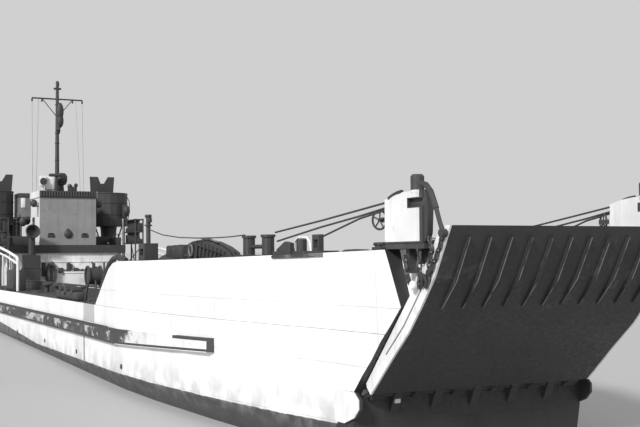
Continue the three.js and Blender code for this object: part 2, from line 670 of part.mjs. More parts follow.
function addWheelhouse() {
  let walls = shell(WHEELHOUSE_AFT_X, WHEELHOUSE_FRONT_X, WHEELHOUSE_HALF, BRIDGE_FLOOR_Z, WHEELHOUSE_TOP_Z);
  for (const y of [-0.95, 0, 0.95]) {
    walls = walls.subtract(block(WHEELHOUSE_FRONT_X, y * M, 5.95 * M, M, 0.32 * M, 0.22 * M));
  }
  for (const x of [-15.5]) {
    walls = walls.subtract(block(x * M, 0, 7.1 * M, 0.5 * M, 6 * M, 0.45 * M));
  }
  walls = hangDoors('wheelhouse_door', walls, {
    hingeX: -16.3 * M,
    footZ: BRIDGE_FLOOR_Z + 0.2 * M,
    width: 0.75 * M,
    height: 1.75 * M,
    wallY: -WHEELHOUSE_HALF,
  });
  add('wheelhouse', walls, grey);
}

// The roof carries a low rim, a chart table, a compass stand and a signal lamp.
function addWheelhouseRoof() {
  const z0 = WHEELHOUSE_TOP_Z + GAP;
  const x0 = WHEELHOUSE_AFT_X - 0.05 * M;
  const x1 = WHEELHOUSE_FRONT_X + 0.06 * M;
  const half = WHEELHOUSE_HALF + 0.05 * M;
  const roof = box(x0, x1, -half, half, z0, z0 + 0.08 * M);
  const rim = box(x0, x1, -half, half, z0, 8.57 * M)
    .subtract(box(x0 + 0.05 * M, x1 - 0.05 * M, -half + 0.05 * M, half - 0.05 * M, z0 - M, 9 * M));
  const compassProfile = [[0, 0], [0.2, 0], [0.14, 0.72], [0.29, 0.78], [0.29, 1.36], [0, 1.44]];
  const compass = turned(compassProfile.map(([r, h]) => [r * M, h * M]), -16.0 * M, -0.15 * M,
    z0 + 0.05 * M, 12);
  const [lampX, lampY] = [-15.2 * M, -1.36 * M];
  const lampStand = bar([lampX, lampY, z0], [lampX, lampY, 8.9 * M], 0.05 * M, 10);
  const lamp = block(lampX, lampY, 8.85 * M, 0.36 * M, 0.32 * M, 0.58 * M);
  add('wheelhouse_roof', join([roof, rim, compass, lampStand, lamp]), dark);
}

// Two round splinter tubs on trunks, each with a shield on a post inside it.
function addTubs() {
  const floorZ = 6.7 * M;
  const rimZ = 8.7 * M;
  const outer = 1.15 * M;
  for (const [name, side, shieldIn] of [['starboard', -1, 0.3], ['port', 1, 0.5]]) {
    const y = side * TUB_Y;
    const tub = turned([[0, 0], [outer, 0], [outer, rimZ - floorZ], [outer - 0.05 * M, rimZ - floorZ],
      [outer - 0.05 * M, 0.08 * M], [0, 0.08 * M]], TUB_X, y, floorZ, 18);
    const trunk = bar([TUB_X, y, BRIDGE_FLOOR_Z], [TUB_X, y, floorZ + 5], 0.42 * M, 16, 0.5 * M);
    const post = bar([TUB_X, y, floorZ], [TUB_X, y, 8.75 * M], 0.1 * M, 10);
    const shieldX = TUB_X + 0.4 * M;
    const plate = new THREE.ExtrudeGeometry(outline([
      [-0.72 * M, 0], [0.66 * M, 0], [0.74 * M, 1.13 * M], [0.34 * M, 1.13 * M], [0.1 * M, 0.72 * M],
      [-0.12 * M, 0.72 * M], [-0.28 * M, 1.13 * M], [-0.78 * M, 1.13 * M],
    ]), { depth: 0.05 * M, bevelEnabled: false });
    plate.rotateX(Math.PI / 2);
    plate.rotateZ(Math.PI / 2);
    plate.translate(shieldX, side * (TUB_Y - shieldIn * M), 8.6 * M);
    const arm = box(TUB_X - 0.1 * M, shieldX + 0.03 * M, y - 0.08 * M, y + 0.08 * M, 8.62 * M, 8.75 * M);
    add(`splinter_tub_${name}`, join([tub, trunk, post, arm, solid(plate)]), dark);
  }
}

// The signal platform between the tubs, abaft the mast: a floor on legs inside a low screen.
function addSignalPlatform() {
  const [x0, x1, half] = [-19.75 * M, -18.25 * M, 2.15 * M];
  const [floorZ, topZ] = [7.2 * M, 8.55 * M];
  const sheet = 0.04 * M;
  const screen = box(x0, x1, -half, half, floorZ, topZ)
    .subtract(box(x0 + sheet, x1 - sheet, -half + sheet, half - sheet, floorZ + 0.08 * M, topZ + M))
    .subtract(box(x0 - M, x0 + M, -0.35 * M, 0.35 * M, floorZ + 0.08 * M, topZ + M));
  const legs = [[x0, -1], [x0, 1], [x1, -1], [x1, 1]].map(([x, side]) => {
    const legX = x + Math.sign(x0 + x1 - 2 * x) * 0.1 * M;
    return bar([legX, side * 2 * M, BRIDGE_FLOOR_Z], [legX, side * 2 * M, floorZ + 5], 0.05 * M, 8);
  });
  add('signal_platform', join([screen, ...legs]), grey);
}

function addMast() {
  const foot = [MAST_X, 0, BRIDGE_FLOOR_Z];
  const yardZ = 14.24 * M;
  const yardHalf = 1.5 * M;
  const pole = bar(foot, [MAST_X, 0, MAST_TOP_Z - 0.12 * M], 0.16 * M, 10, 0.09 * M);
  const yard = bar([MAST_X, -yardHalf, yardZ], [MAST_X, yardHalf, yardZ], 0.045 * M, 10);
  const braces = [-1, 1].map((side) => bar([MAST_X, side * 0.9 * M, yardZ], [MAST_X, 0, yardZ - 1.1 * M],
    0.025 * M, 8));
  const truck = ball(MAST_X, 0, MAST_TOP_Z - 0.1 * M, 0.1 * M);
  const lanternZ = 12.4 * M;
  const shelf = box(MAST_X, MAST_X + 0.42 * M, -0.08 * M, 0.08 * M, lanternZ - 0.06 * M, lanternZ);
  const lanternX = MAST_X + 0.3 * M;
  const lantern = bar([lanternX, 0, lanternZ - 1], [lanternX, 0, lanternZ + 0.34 * M], 0.11 * M, 12);
  const foot2 = block(MAST_X, 0, BRIDGE_FLOOR_Z, 0.5 * M, 0.5 * M, 0.06 * M);
  add('mast', join([pole, yard, ...braces, truck, shelf, lantern, foot2]), grey);
}

// The casing over the engine room, abaft the house, and the funnel on it.
function addFunnel() {
  const casingTop = 4.7 * M;
  const casing = box(-22.4 * M, HOUSE_AFT_X - 0.12 * M, -1.5 * M, 1.5 * M, SIDE_DECK_Z + GAP, casingTop);
  add('engine_casing', casing, white);
  const x = -21.3 * M;
  const profile = (r, z0, z1) => {
    const geometry = new THREE.CylinderGeometry(r, r, z1 - z0, 18);
    geometry.rotateX(Math.PI / 2);
    geometry.scale(1.35, 1, 1);
    geometry.translate(x, 0, (z0 + z1) / 2);
    return solid(geometry);
  };
  const stack = profile(0.42 * M, casingTop + GAP, 7.3 * M);
  const cap = profile(0.46 * M, 7.15 * M, 7.35 * M);
  const throat = profile(0.37 * M, 6.4 * M, 8 * M);
  const pipe = bar([x, 0, 6.3 * M], [x, 0, 7.45 * M], 0.15 * M, 10);
  add('funnel', join([stack, cap]).subtract(throat).add(pipe), grey);
}

// A tall ventilator before the deckhouse: a trunk, a pipe and a cowl that faces forward.
function addCowlVent() {
  const [x, y, cowlZ] = [-14.25 * M, -2.15 * M, 6.15 * M];
  const trunk = block(x, y, SIDE_DECK_Z - 0.01 * M, 0.5 * M, 0.9 * M, 1.75 * M);
  const pipe = bar([x, y, SIDE_DECK_Z + 1.7 * M], [x, y, cowlZ], 0.2 * M, 10);
  const back = ball(x, y, cowlZ, 0.3 * M);
  const cowl = bar([x, y, cowlZ], [x + 0.38 * M, y, cowlZ + 0.1 * M], 0.27 * M, 12, 0.38 * M);
  const mouth = bar([x + 0.1 * M, y, cowlZ + 0.02 * M], [x + 0.5 * M, y, cowlZ + 0.13 * M],
    0.2 * M, 12, 0.38 * M);
  add('cowl_vent', onDeck(join([trunk, pipe, back, cowl]).subtract(mouth)), dark);
}

// Stern gear: a hatch, the anchor winch, the kedge anchor on its chock, bitts and rails.
function addHatch() {
  const [x, length, width] = [-23.6 * M, 1.3 * M, 1.3 * M];
  const topZ = SIDE_DECK_Z + 0.5 * M;
  const coaming = block(x, 0, SIDE_DECK_Z + GAP, length, width, topZ - SIDE_DECK_Z);
  const well = block(x, 0, SIDE_DECK_Z - M, length - 2 * WALL, width - 2 * WALL, 3 * M);
  const hingeX = x + length / 2 + DOOR_EYE_OUT + 4;
  const hingeZ = topZ + 20;
  const ears = [];
  const eyes = [];
  const bores = [];
  for (const y of [-0.4 * M, 0.4 * M]) {
    ears.push(box(x + length / 2 - 5, hingeX + 8, y - 35, y - 1, topZ - 60, hingeZ + 8));
    ears.push(bar([hingeX, y - 20, hingeZ], [hingeX, y + 42, hingeZ], DOOR_PIN_R, ROUND_SIDES));
    eyes.push(bar([hingeX, y, hingeZ], [hingeX, y + 50, hingeZ], DOOR_EYE_R, 10));
    eyes.push(box(x + length / 2 - 60, hingeX - 8, y, y + 50, topZ + 8, hingeZ + 12));
    bores.push(bar([hingeX, y - 10, hingeZ], [hingeX, y + 60, hingeZ], DOOR_PIN_R + PIN_CLEAR, ROUND_SIDES));
  }
  const lidHalf = width / 2 + 0.02 * M;
  const lid = box(x - length / 2 - 0.02 * M, x + length / 2 - DOOR_CLEAR, -lidHalf, lidHalf,
    topZ + 1, topZ + 0.07 * M);
  add('hatch_coaming', coaming.subtract(well).add(join(ears)), white);
  add('hatch_lid', join([lid, ...eyes]).subtract(join(bores)), deckPaint);
}

function addWinch() {
  const [x, z] = [-25.6 * M, SIDE_DECK_Z];
  const axisZ = z + 0.62 * M;
  const bed = block(x, 0, z - 5, 1.3 * M, 2.3 * M, 0.13 * M);
  const cheeks = [-0.95, 0.95].map((y) => acrossPrism([
    [x - 0.55 * M, z + 0.1 * M], [x + 0.55 * M, z + 0.1 * M],
    [x + 0.2 * M, z + 0.85 * M], [x - 0.2 * M, z + 0.85 * M],
  ], (y - 0.04) * M, (y + 0.04) * M));
  const drum = bar([x, -0.95 * M, axisZ], [x, 0.95 * M, axisZ], 0.25 * M, 16);
  const flanges = [-0.8, 0.5].map((y) => bar([x, y * M, axisZ], [x, (y + 0.05) * M, axisZ], 0.45 * M, 18));
  const ends = [-1.25, 0.95].map((y) => bar([x, y * M, axisZ], [x, (y + 0.3) * M, axisZ], 0.17 * M, 10));
  const gearcase = block(x + 0.1 * M, 0.75 * M, z + 0.1 * M, 0.8 * M, 0.3 * M, 0.75 * M);
  add('stern_winch', onDeck(join([bed, ...cheeks, drum, ...flanges, ...ends, gearcase])), dark);
}

function addAnchor() {
  const z = 3.42 * M;
  const shank = bar([-28.75 * M, 0, z + 0.28 * M], [-27.2 * M, 0, z + 0.28 * M], 0.07 * M, 10);
  const stock = bar([-27.3 * M, -0.8 * M, z + 0.28 * M], [-27.3 * M, 0.8 * M, z + 0.28 * M], 0.05 * M, 10);
  const arms = [-1, 1].map((side) => bar([-28.75 * M, 0, z + 0.28 * M],
    [-28.25 * M, side * 0.72 * M, z + 0.28 * M], 0.07 * M, 10, 0.05 * M));
  const flukes = [-1, 1].map((side) => block(-28.3 * M, side * 0.7 * M, z + 0.2 * M, 0.3 * M, 0.22 * M,
    0.16 * M));
  const chocks = [-28.5, -27.5].map((x) => block(x * M, 0, z - 0.3 * M, 0.2 * M, 0.3 * M, 0.52 * M));
  const bed = block(-28.05 * M, 0, z - 0.3 * M, 1.4 * M, 0.5 * M, 0.24 * M);
  add('kedge_anchor', onDeck(join([shank, stock, ...arms, ...flukes, ...chocks, bed])), dark);
}

function addSternBitts() {
  const [x, y, z] = [-26.9 * M, -2.7 * M, 3.15 * M];
  const posts = [-0.3, 0.3].map((along) => bar([x + along * M, y, z], [x + along * M, y, z + 0.6 * M],
    0.11 * M, 12));
  const base = block(x, y, z, 1.1 * M, 0.4 * M, 0.14 * M);
  addPair('stern_bitts', onDeck(join([base, ...posts])), dark);
}

// Rail posts as [x, distance out from the middle], along the edge of the after deck.
const railPosts = [
  [-21.2, 4.4], [-22.8, 4.3], [-24.4, 4.13], [-26.0, 3.95], [-27.3, 3.5], [-28.2, 2.85], [-28.7, 2.3],
  [-28.9, 1.4],
].map(([x, y]) => [x * M, -y * M]);

function addRails() {
  const foot = 3.15 * M;
  const levels = [3.75 * M, 4.25 * M];
  const pieces = [];
  railPosts.forEach(([x, y], i) => {
    pieces.push(bar([x, y, foot], [x, y, levels[1] + 10], 0.035 * M, 6));
    if (i === 0) return;
    const [previousX, previousY] = railPosts[i - 1];
    for (const z of levels) pieces.push(bar([previousX, previousY, z], [x, y, z], 0.022 * M, 4));
  });
  addPair('guard_rail', onDeck(join(pieces)), grey);
}

// Life rafts lean on the front of the house; a ready locker stands before it.
function addRafts() {
  const y = -0.95 * M;
  const ring = new THREE.TorusGeometry(0.5 * M, 0.13 * M, 6, 14);
  ring.rotateY(Math.PI / 2);
  ring.scale(1, 0.52, 1.15);
  ring.translate(HOUSE_FRONT_X + 0.15 * M, y, SIDE_DECK_Z + 0.68 * M);
  const slats = block(HOUSE_FRONT_X + 0.12 * M, y, SIDE_DECK_Z + 0.15 * M, 0.06 * M, 0.12 * M, 1.1 * M);
  const foot = block(HOUSE_FRONT_X + 0.14 * M, y, SIDE_DECK_Z - 5, 0.24 * M, 0.3 * M, 0.12 * M);
  const raft = onDeck(join([solid(ring), slats, foot]));
  const behind = box(HOUSE_FRONT_X - M, HOUSE_FRONT_X + GAP, -9 * M, 9 * M, 0, 9 * M);
  add('life_raft_starboard', raft.subtract(behind), canvas);
  const [lockerX, lockerY] = [HOUSE_FRONT_X + 0.45 * M, 0.45 * M];
  const locker = block(lockerX, lockerY, SIDE_DECK_Z - 5, 0.6 * M, 1.3 * M, 0.75 * M);
  const lockerLid = block(lockerX, lockerY, SIDE_DECK_Z + 0.72 * M, 0.68 * M, 1.38 * M, 0.08 * M);
  add('ready_locker', onDeck(locker.add(lockerLid)), dark);
}

// Under the stern, to each side: a shaft tube with its bracket, a propeller and a rudder.
function addScrews() {
  const tubeEnd = PROPELLER_X + 0.3 * M;
  const tube = bar([-22.6 * M, -SHAFT_Y, SHAFT_Z], [tubeEnd, -SHAFT_Y, SHAFT_Z], 0.08 * M, 10);
  const barrel = bar([tubeEnd + 0.4 * M, -SHAFT_Y, SHAFT_Z], [tubeEnd, -SHAFT_Y, SHAFT_Z], 0.12 * M, 10);
  const strutX = tubeEnd + 0.2 * M;
  const struts = [-0.45, 0.45].map((out) => bar([strutX, -SHAFT_Y, SHAFT_Z],
    [strutX, -SHAFT_Y + out * M, 1.3 * M], 0.045 * M, 8));
  const pin = bar([tubeEnd + 5, -SHAFT_Y, SHAFT_Z], [PROPELLER_X - 0.1 * M, -SHAFT_Y, SHAFT_Z],
    SHAFT_PIN_R, ROUND_SIDES);
  addPair('shaft_bracket', underHull(join([tube, barrel, ...struts])).add(pin), dark);

  const hub = bar([tubeEnd - 0.02 * M, -SHAFT_Y, SHAFT_Z], [PROPELLER_X - 0.2 * M, -SHAFT_Y, SHAFT_Z],
    0.1 * M, 16, 0.07 * M);
  let propeller = hub;
  for (let i = 0; i < 3; i++) {
    const blade = new THREE.CylinderGeometry(0.5, 0.5, 0.025 * M, 12);
    blade.rotateX(Math.PI / 2);
    blade.scale(PROPELLER_R * 0.62, PROPELLER_R * 0.94, 1);
    blade.rotateY(THREE.MathUtils.degToRad(55));
    blade.translate(0, PROPELLER_R * 0.53, 0);
    blade.rotateX(i * 2 * Math.PI / 3);
    blade.translate(PROPELLER_X, -SHAFT_Y, SHAFT_Z);
    propeller = propeller.add(solid(blade));
  }
  const bore = bar([tubeEnd + 5, -SHAFT_Y, SHAFT_Z], [PROPELLER_X - 0.12 * M, -SHAFT_Y, SHAFT_Z],
    SHAFT_PIN_R + PIN_CLEAR, ROUND_SIDES);
  addPair('propeller', propeller.subtract(bore), bronze);

  const blade = acrossPrism([
    [RUDDER_X + 0.22 * M, 0.2 * M], [RUDDER_X + 0.25 * M, 1.0 * M], [RUDDER_X - 0.75 * M, 1.06 * M],
    [RUDDER_X - 0.78 * M, 0.35 * M], [RUDDER_X - 0.6 * M, 0.14 * M], [RUDDER_X + 0.1 * M, 0.12 * M],
  ], -SHAFT_Y - 0.035 * M, -SHAFT_Y + 0.035 * M);
  const stock = bar([RUDDER_X, -SHAFT_Y, 0.3 * M], [RUDDER_X, -SHAFT_Y, 1.88 * M],
    RUDDER_STOCK_R, ROUND_SIDES);
  addPair('rudder', blade.add(stock), dark);
}

addHull();
addTankDeck();
addCoamings();
addBelting();
addDoorSeal();
addHinge();
addDoor();
addHorns();
addDeckGear();
addDeckhouse();
addBridgeDeck();
addWheelhouse();
addWheelhouseRoof();
addTubs();
addSignalPlatform();
addMast();
addFunnel();
addCowlVent();
addHatch();
addWinch();
addAnchor();
addSternBitts();
addRails();
addRafts();
addScrews();

export default part;
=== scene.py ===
import json
import math
from functools import partialmethod

import bmesh
import bpy
from mathutils import Matrix, Vector


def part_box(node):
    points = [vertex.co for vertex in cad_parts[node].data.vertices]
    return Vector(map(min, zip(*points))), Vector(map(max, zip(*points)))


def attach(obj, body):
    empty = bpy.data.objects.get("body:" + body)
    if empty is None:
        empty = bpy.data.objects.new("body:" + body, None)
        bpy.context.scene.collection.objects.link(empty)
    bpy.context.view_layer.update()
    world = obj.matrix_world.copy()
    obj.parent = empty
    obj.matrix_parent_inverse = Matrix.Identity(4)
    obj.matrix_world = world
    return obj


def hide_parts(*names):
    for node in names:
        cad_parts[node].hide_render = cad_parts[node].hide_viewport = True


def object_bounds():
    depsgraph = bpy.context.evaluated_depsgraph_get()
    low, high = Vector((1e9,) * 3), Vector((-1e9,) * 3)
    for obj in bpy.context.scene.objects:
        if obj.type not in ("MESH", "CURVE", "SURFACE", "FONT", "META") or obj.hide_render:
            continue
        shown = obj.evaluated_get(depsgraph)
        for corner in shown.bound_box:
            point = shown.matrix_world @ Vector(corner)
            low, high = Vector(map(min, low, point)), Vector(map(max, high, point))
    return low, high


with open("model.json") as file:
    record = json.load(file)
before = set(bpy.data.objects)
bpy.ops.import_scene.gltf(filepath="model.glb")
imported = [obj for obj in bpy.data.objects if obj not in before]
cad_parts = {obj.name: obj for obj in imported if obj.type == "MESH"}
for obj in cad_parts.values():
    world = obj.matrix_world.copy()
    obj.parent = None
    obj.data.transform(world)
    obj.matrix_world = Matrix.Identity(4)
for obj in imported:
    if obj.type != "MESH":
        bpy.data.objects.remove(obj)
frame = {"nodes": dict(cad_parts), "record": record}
CAD_LOW, CAD_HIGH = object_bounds()

# One metre of the full-size craft, in metres of this half-size one.
M = 0.5
CRAFT = "craft"
SHARP_ANGLE = math.radians(40)
SIDES = (-1, 1)
NAMED_SIDES = ((-1, "starboard"), (1, "port"))
ONCE = ((),)

# The raised bow deck in full-size metres: height at its aft end, rise, length, and the power of its curve.
BOW_DECK_Z = 4.66
BOW_DECK_RISE = 0.23
BOW_DECK_LENGTH = 14
BOW_DECK_POWER = 1.4
STEM_SLOPE = 0.96
# The waterline rises towards the stern, because the craft floats with her bow up.
TRIM = 0.01713
WATER_AT_CAMERA = 0.065
CAMERA_AT = Vector((22.52, -6.595, 2.38))
CAMERA_TURN = math.radians(25.9)
CAMERA_PITCH = math.radians(1.446)
LENS = 59.06
SUN_TRAVEL = Vector((-0.7, 1.0, -0.78))
SUN_ENERGY = 3.6
SKY_STRENGTH = 0.85

# Places that come from the frame. The horn is the aft face of the sheave box at the bow.
HORN_X = CAD_HIGH.x - 2.03 * M
HINGE_Z = 1.85 * M
DOOR_HALF = 2.83 * M
SIDE_DECK_Z = 3.2 * M
HOUSE_HALF = 2.9 * M
HOUSE_FRONT_X = -14.9 * M
HOUSE_AFT_X = -20.4 * M
BRIDGE_FLOOR_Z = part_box("bridge_deck")[1].z - 0.33 * M
WHEEL_FRONT_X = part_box("wheelhouse")[1].x
MAST_X = -17.86 * M
TUB_X, TUB_Y, TUB_RADIUS = -19.2, 3.45, 1.15
BELT_END_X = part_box("belting_starboard")[1].x
CHINE_Z = 1.2 * M

# The door's outer face, as [forward of the horn, z], in full-size metres.
DOOR_FACE = ((-1.02, 1.914), (-0.19, 2.664), (0.51, 3.265), (0.99, 3.786), (1.45, 4.322), (2.03, 5.304))


def water_z(x):
    return WATER_AT_CAMERA + TRIM * (CAMERA_AT.x - x)


def at(x, y, z):
    """A place in metres of the full-size craft."""
    return Vector((x, y, z)) * M


def up(rise):
    return Vector((0, 0, rise))


def off_horn(forward, y, z):
    """A place in full-size metres, counted forward from the horn."""
    return Vector((HORN_X + forward * M, y * M, z * M))


def hull_half(x):
    """Half width of the deck at x, as the hull's taper gives it."""
    share = min(1.1, max(0.0, (x - HORN_X) / (14.5 * M) + 1))
    return (4.6 - 1.65 * share ** 1.5) * M


def bow_deck_z(forward):
    """Height of the raised deck, in full-size metres, at a distance forward of the horn."""
    share = max(0.0, min(1.0, (forward + BOW_DECK_LENGTH) / BOW_DECK_LENGTH))
    return BOW_DECK_Z + BOW_DECK_RISE * share ** BOW_DECK_POWER


def joint_x(z):
    """Where the stem's slope lies at a height."""
    return HORN_X - 1.49 * M + STEM_SLOPE * (z - HINGE_Z)


class Graph:
    """A material's nodes, built one call at a time."""

    def __init__(self, name):
        self.material = bpy.data.materials.new(name)
        self.material.use_nodes = True
        self.tree = self.material.node_tree
        self.shader = self.tree.nodes["Principled BSDF"]
        self.place = self.tree.nodes.new("ShaderNodeTexCoord").outputs["Object"]

    def link(self, value, socket):
        if isinstance(value, bpy.types.NodeSocket):
            self.tree.links.new(value, socket)
        elif isinstance(value, tuple) and socket.type == "RGBA":
            socket.default_value = (*value, 1.0)
        else:
            socket.default_value = value

    def add(self, kind, output, **inputs):
        """A new node with its inputs linked or set. It gives one of its outputs."""
        node = self.tree.nodes.new("ShaderNode" + kind)
        for name, value in inputs.items():
            self.link(value, node.inputs[name.replace("_", " ")])
        return node.outputs[output]

    def mapped(self, scale):
        return self.add("Mapping", "Vector", Vector=self.place, Scale=scale)

    def noise(self, scale, detail=4.0, rough=0.55, vector=None):
        return self.add("TexNoise", "Fac", Vector=vector or self.place, Scale=scale, Detail=detail,
                        Roughness=rough)

    def sum(self, operation, a, b=0.0, clamp=False):
        node = self.tree.nodes.new("ShaderNodeMath")
        node.operation = operation
        node.use_clamp = clamp
        self.link(a, node.inputs[0])
        self.link(b, node.inputs[1])
        return node.outputs[0]

    plus = partialmethod(sum, "ADD")
    less = partialmethod(sum, "SUBTRACT")
    times = partialmethod(sum, "MULTIPLY")
    most = partialmethod(sum, "MAXIMUM")
    above = partialmethod(sum, "GREATER_THAN")
    below = partialmethod(sum, "LESS_THAN")

    def ramp(self, value, low, high, bottom=0.0, top=1.0):
        result = self.add("MapRange", "Result", Value=value, From_Min=low, From_Max=high, To_Min=bottom,
                          To_Max=top)
        result.node.interpolation_type = "SMOOTHSTEP"
        return result

    def ramp_line(self, value, low, high):
        """0 to 1 in a straight line between two values."""
        return self.sum("DIVIDE", self.less(value, low), high - low, clamp=True)

    def within(self, value, low, high):
        return self.times(self.above(value, low), self.below(value, high))

    def axis(self, letter):
        return self.add("SeparateXYZ", letter, Vector=self.place)

    def blend(self, share, a, b):
        node = self.tree.nodes.new("ShaderNodeMix")
        node.data_type = "RGBA"
        node.clamp_factor = True
        for place, value in ((0, share), (6, a), (7, b)):
            self.link(value, node.inputs[place])
        return node.outputs[2]

    def seams(self, letter, pitch, width):
        """1 on thin lines square to an axis, 0 between them."""
        turn = self.sum("FRACT", self.sum("DIVIDE", self.axis(letter), pitch))
        off = self.sum("ABSOLUTE", self.less(turn, 0.5))
        return self.ramp(off, 0.5 - width / pitch, 0.5)

    def bump(self, height, strength, distance):
        normal = self.add("Bump", "Normal", Strength=strength, Distance=distance, Height=height)
        self.link(normal, self.shader.inputs["Normal"])

    def patchy(self, value, low, high):
        """A roughness between two levels, after a noise."""
        return self.ramp(value, 0.3, 0.7, low, high)

    def finish(self, colour, rough, metallic=0.0):
        self.link(colour, self.shader.inputs["Base Color"])
        self.link(rough, self.shader.inputs["Roughness"])
        self.shader.inputs["Metallic"].default_value = metallic
        return self.material


def grey(level):
    return (level, level, level)


def weathered(g, level, stain, wear):
    """Cloudy tone, rain streaks and chips on a matt paint of one level."""
    base = g.blend(g.ramp(g.noise(1.6, 5), 0.35, 0.7), grey(level * 0.84), grey(level))
    streaky = g.noise(1.0, 5, 0.6, g.mapped((9, 9, 0.55)))
    base = g.blend(g.ramp(streaky, 0.52, 0.72, 0.0, stain), base, grey(level * 0.42))
    chips = g.times(g.noise(9, 8, 0.7), g.noise(2.5, 3))
    return g.blend(g.ramp(chips, 0.33, 0.37, 0.0, wear), base, grey(0.09))


def hammered(g, dents=0.3):
    fine = g.noise(24, 4)
    height = g.plus(g.times(g.noise(3.0, 2), dents), g.times(fine, 0.06))
    g.bump(height, 0.5, 0.02)
    return fine


def ship_paint(name, level, stain=0.35, rough=0.6, wear=0.25):
    g = Graph(name)
    fine = hammered(g)
    return g.finish(weathered(g, level, stain, wear), g.patchy(fine, rough - 0.1, rough + 0.1))


def two_tone_paint(name, share_of_dark, light=0.78, dark=0.05):
    """White paint with a dark part, given by a function of the graph."""
    g = Graph(name)
    fine = hammered(g)
    colour = g.blend(share_of_dark(g), weathered(g, light, 0.3, 0.2), weathered(g, dark, 0.2, 0.3))
    return g.finish(colour, g.patchy(fine, 0.5, 0.7))


# How the deck rises to the stern, as [from x, to x, rise] in full-size metres.
QUARTER_DECK = ((-26.0, -27.8, 0.06), (-27.8, -28.8, 0.06), (-28.8, -29.07, 0.04))
EDGE_BAND = 0.004


def hull_paint():
    """White topsides down to the chine, dark bottom below, with plate seams, dished plating and rust runs.
    The bow notch is painted shade, and the stem's front is dark paint darkened further as painted shade.
    """
    g = Graph("hull_paint")
    x, z = g.axis("X"), g.axis("Z")
    out = g.sum("ABSOLUTE", g.axis("Y"))
    seam = g.most(g.seams("X", 1.9, 0.012), g.seams("Z", 0.62, 0.01))
    white = g.blend(g.ramp(g.noise(0.9, 5), 0.35, 0.65), grey(0.72), grey(0.84))
    streaky = g.noise(1.0, 6, 0.65, g.mapped((5.5, 5.5, 0.35)))
    white = g.blend(g.ramp(streaky, 0.56, 0.78, 0.0, 0.5), white, grey(0.36))
    low_dirt = g.ramp(z, 0.6, 1.1, 0.5, 0.0)
    grime = g.times(low_dirt, g.ramp(g.noise(3.2, 6), 0.35, 0.65))
    white = g.blend(grime, white, grey(0.28))
    white = g.blend(g.times(seam, 0.25), white, grey(0.3))
    patch = g.times(g.within(x, 4.3, 5.0), g.above(z, 2.6 * M))
    white = g.blend(g.times(patch, 0.7), white, grey(0.3))
    run = g.times(g.within(x, 4.22, 4.29), g.below(z, SIDE_DECK_Z - 0.01))
    white = g.blend(g.times(run, g.ramp(z, 3.0 * M, 1.8 * M, 0.45, 0.95)), white, grey(0.05))
    edge = g.plus(z, g.times(g.less(g.noise(7, 4), 0.5), 0.03))
    dark = g.blend(g.noise(2.2, 6), grey(0.03), grey(0.075))
    slime = g.ramp(z, 0.3, 0.62, 0.0, 0.6)
    dark = g.blend(g.times(slime, g.ramp(g.noise(6, 6), 0.4, 0.7)), dark, grey(0.2))
    lift = g.times(g.most(g.less(0.0, x), 0.0), 0.045)
    edge = g.less(edge, lift)
    colour = g.blend(g.ramp(edge, CHINE_Z - 0.008, CHINE_Z + 0.008), dark, white)
    # The stem's front below the hinge: dark paint, darkened further to near black as painted shade.
    stem = g.above(g.less(x, g.times(z, STEM_SLOPE)), joint_x(0) - 0.004)
    stem = g.times(stem, g.above(x, HORN_X - 2.3 * M))
    # The notch at the bow behind the sheave box: its inner wall is painted near black as painted shade.
    cut = g.less(z, g.times(g.less(HORN_X + 0.4 * M, x), 1.33 / 0.54))
    notch_painted_shade = g.times(g.above(x, HORN_X - 0.15 * M), g.above(cut, 3.6 * M))
    notch_painted_shade = g.times(notch_painted_shade, g.above(out, 2.63 * M))
    share = g.ramp_line(x, HORN_X - BOW_DECK_LENGTH * M, HORN_X)
    curve = g.sum("POWER", share, BOW_DECK_POWER)
    top = g.plus(BOW_DECK_Z * M - EDGE_BAND, g.times(curve, BOW_DECK_RISE * M))
    decks = g.most(g.above(g.less(z, top), 0.0),
                  g.within(z, SIDE_DECK_Z - 0.002, SIDE_DECK_Z + 0.002))
    aft = SIDE_DECK_Z - EDGE_BAND
    for start, end, rise in QUARTER_DECK:
        aft = g.plus(aft, g.times(g.ramp_line(x, start * M, end * M), rise * M))
    quarter = g.times(g.below(x, -25.9 * M), g.above(g.less(z, aft), 0.0))
    # Near black: dark paint on the decks, dark paint and painted shade on the stem, painted shade in the
    # notch.
    recoloured_incl_painted_shading = g.most(g.most(stem, notch_painted_shade), g.most(decks, quarter))
    colour = g.blend(recoloured_incl_painted_shading, colour, g.blend(g.noise(3, 5), grey(0.012), grey(0.035)))
    frames = g.sum("SINE", g.times(x, 2 * math.pi / 0.62))
    height = g.plus(g.times(g.times(frames, g.noise(0.8, 2)), 0.35),
                   g.times(seam, -0.25))
    height = g.plus(height, g.times(g.noise(2.0, 3), 0.6))
    g.bump(height, 0.55, 0.02)
    return g.finish(colour, g.patchy(g.noise(12, 4), 0.42, 0.62))


def deck_paint():
    g = Graph("deck_paint")
    worn = g.ramp(g.noise(2.4, 7, 0.65), 0.4, 0.68)
    colour = g.blend(worn, grey(0.1), grey(0.2))
    plates = g.most(g.seams("X", 1.25, 0.01), g.seams("Y", 0.75, 0.01))
    colour = g.blend(g.times(plates, 0.5), colour, grey(0.05))
    g.bump(g.less(g.noise(60, 3), g.times(plates, 0.6)), 0.4, 0.006)
    return g.finish(colour, g.patchy(g.noise(16, 4), 0.6, 0.85))


def bronze():
    g = Graph("bronze")
    colour = g.blend(g.noise(5, 6), (0.2, 0.17, 0.13), (0.36, 0.31, 0.24))
    g.bump(g.noise(30, 4), 0.3, 0.004)
    return g.finish(colour, g.patchy(g.noise(9, 4), 0.35, 0.6), 0.85)


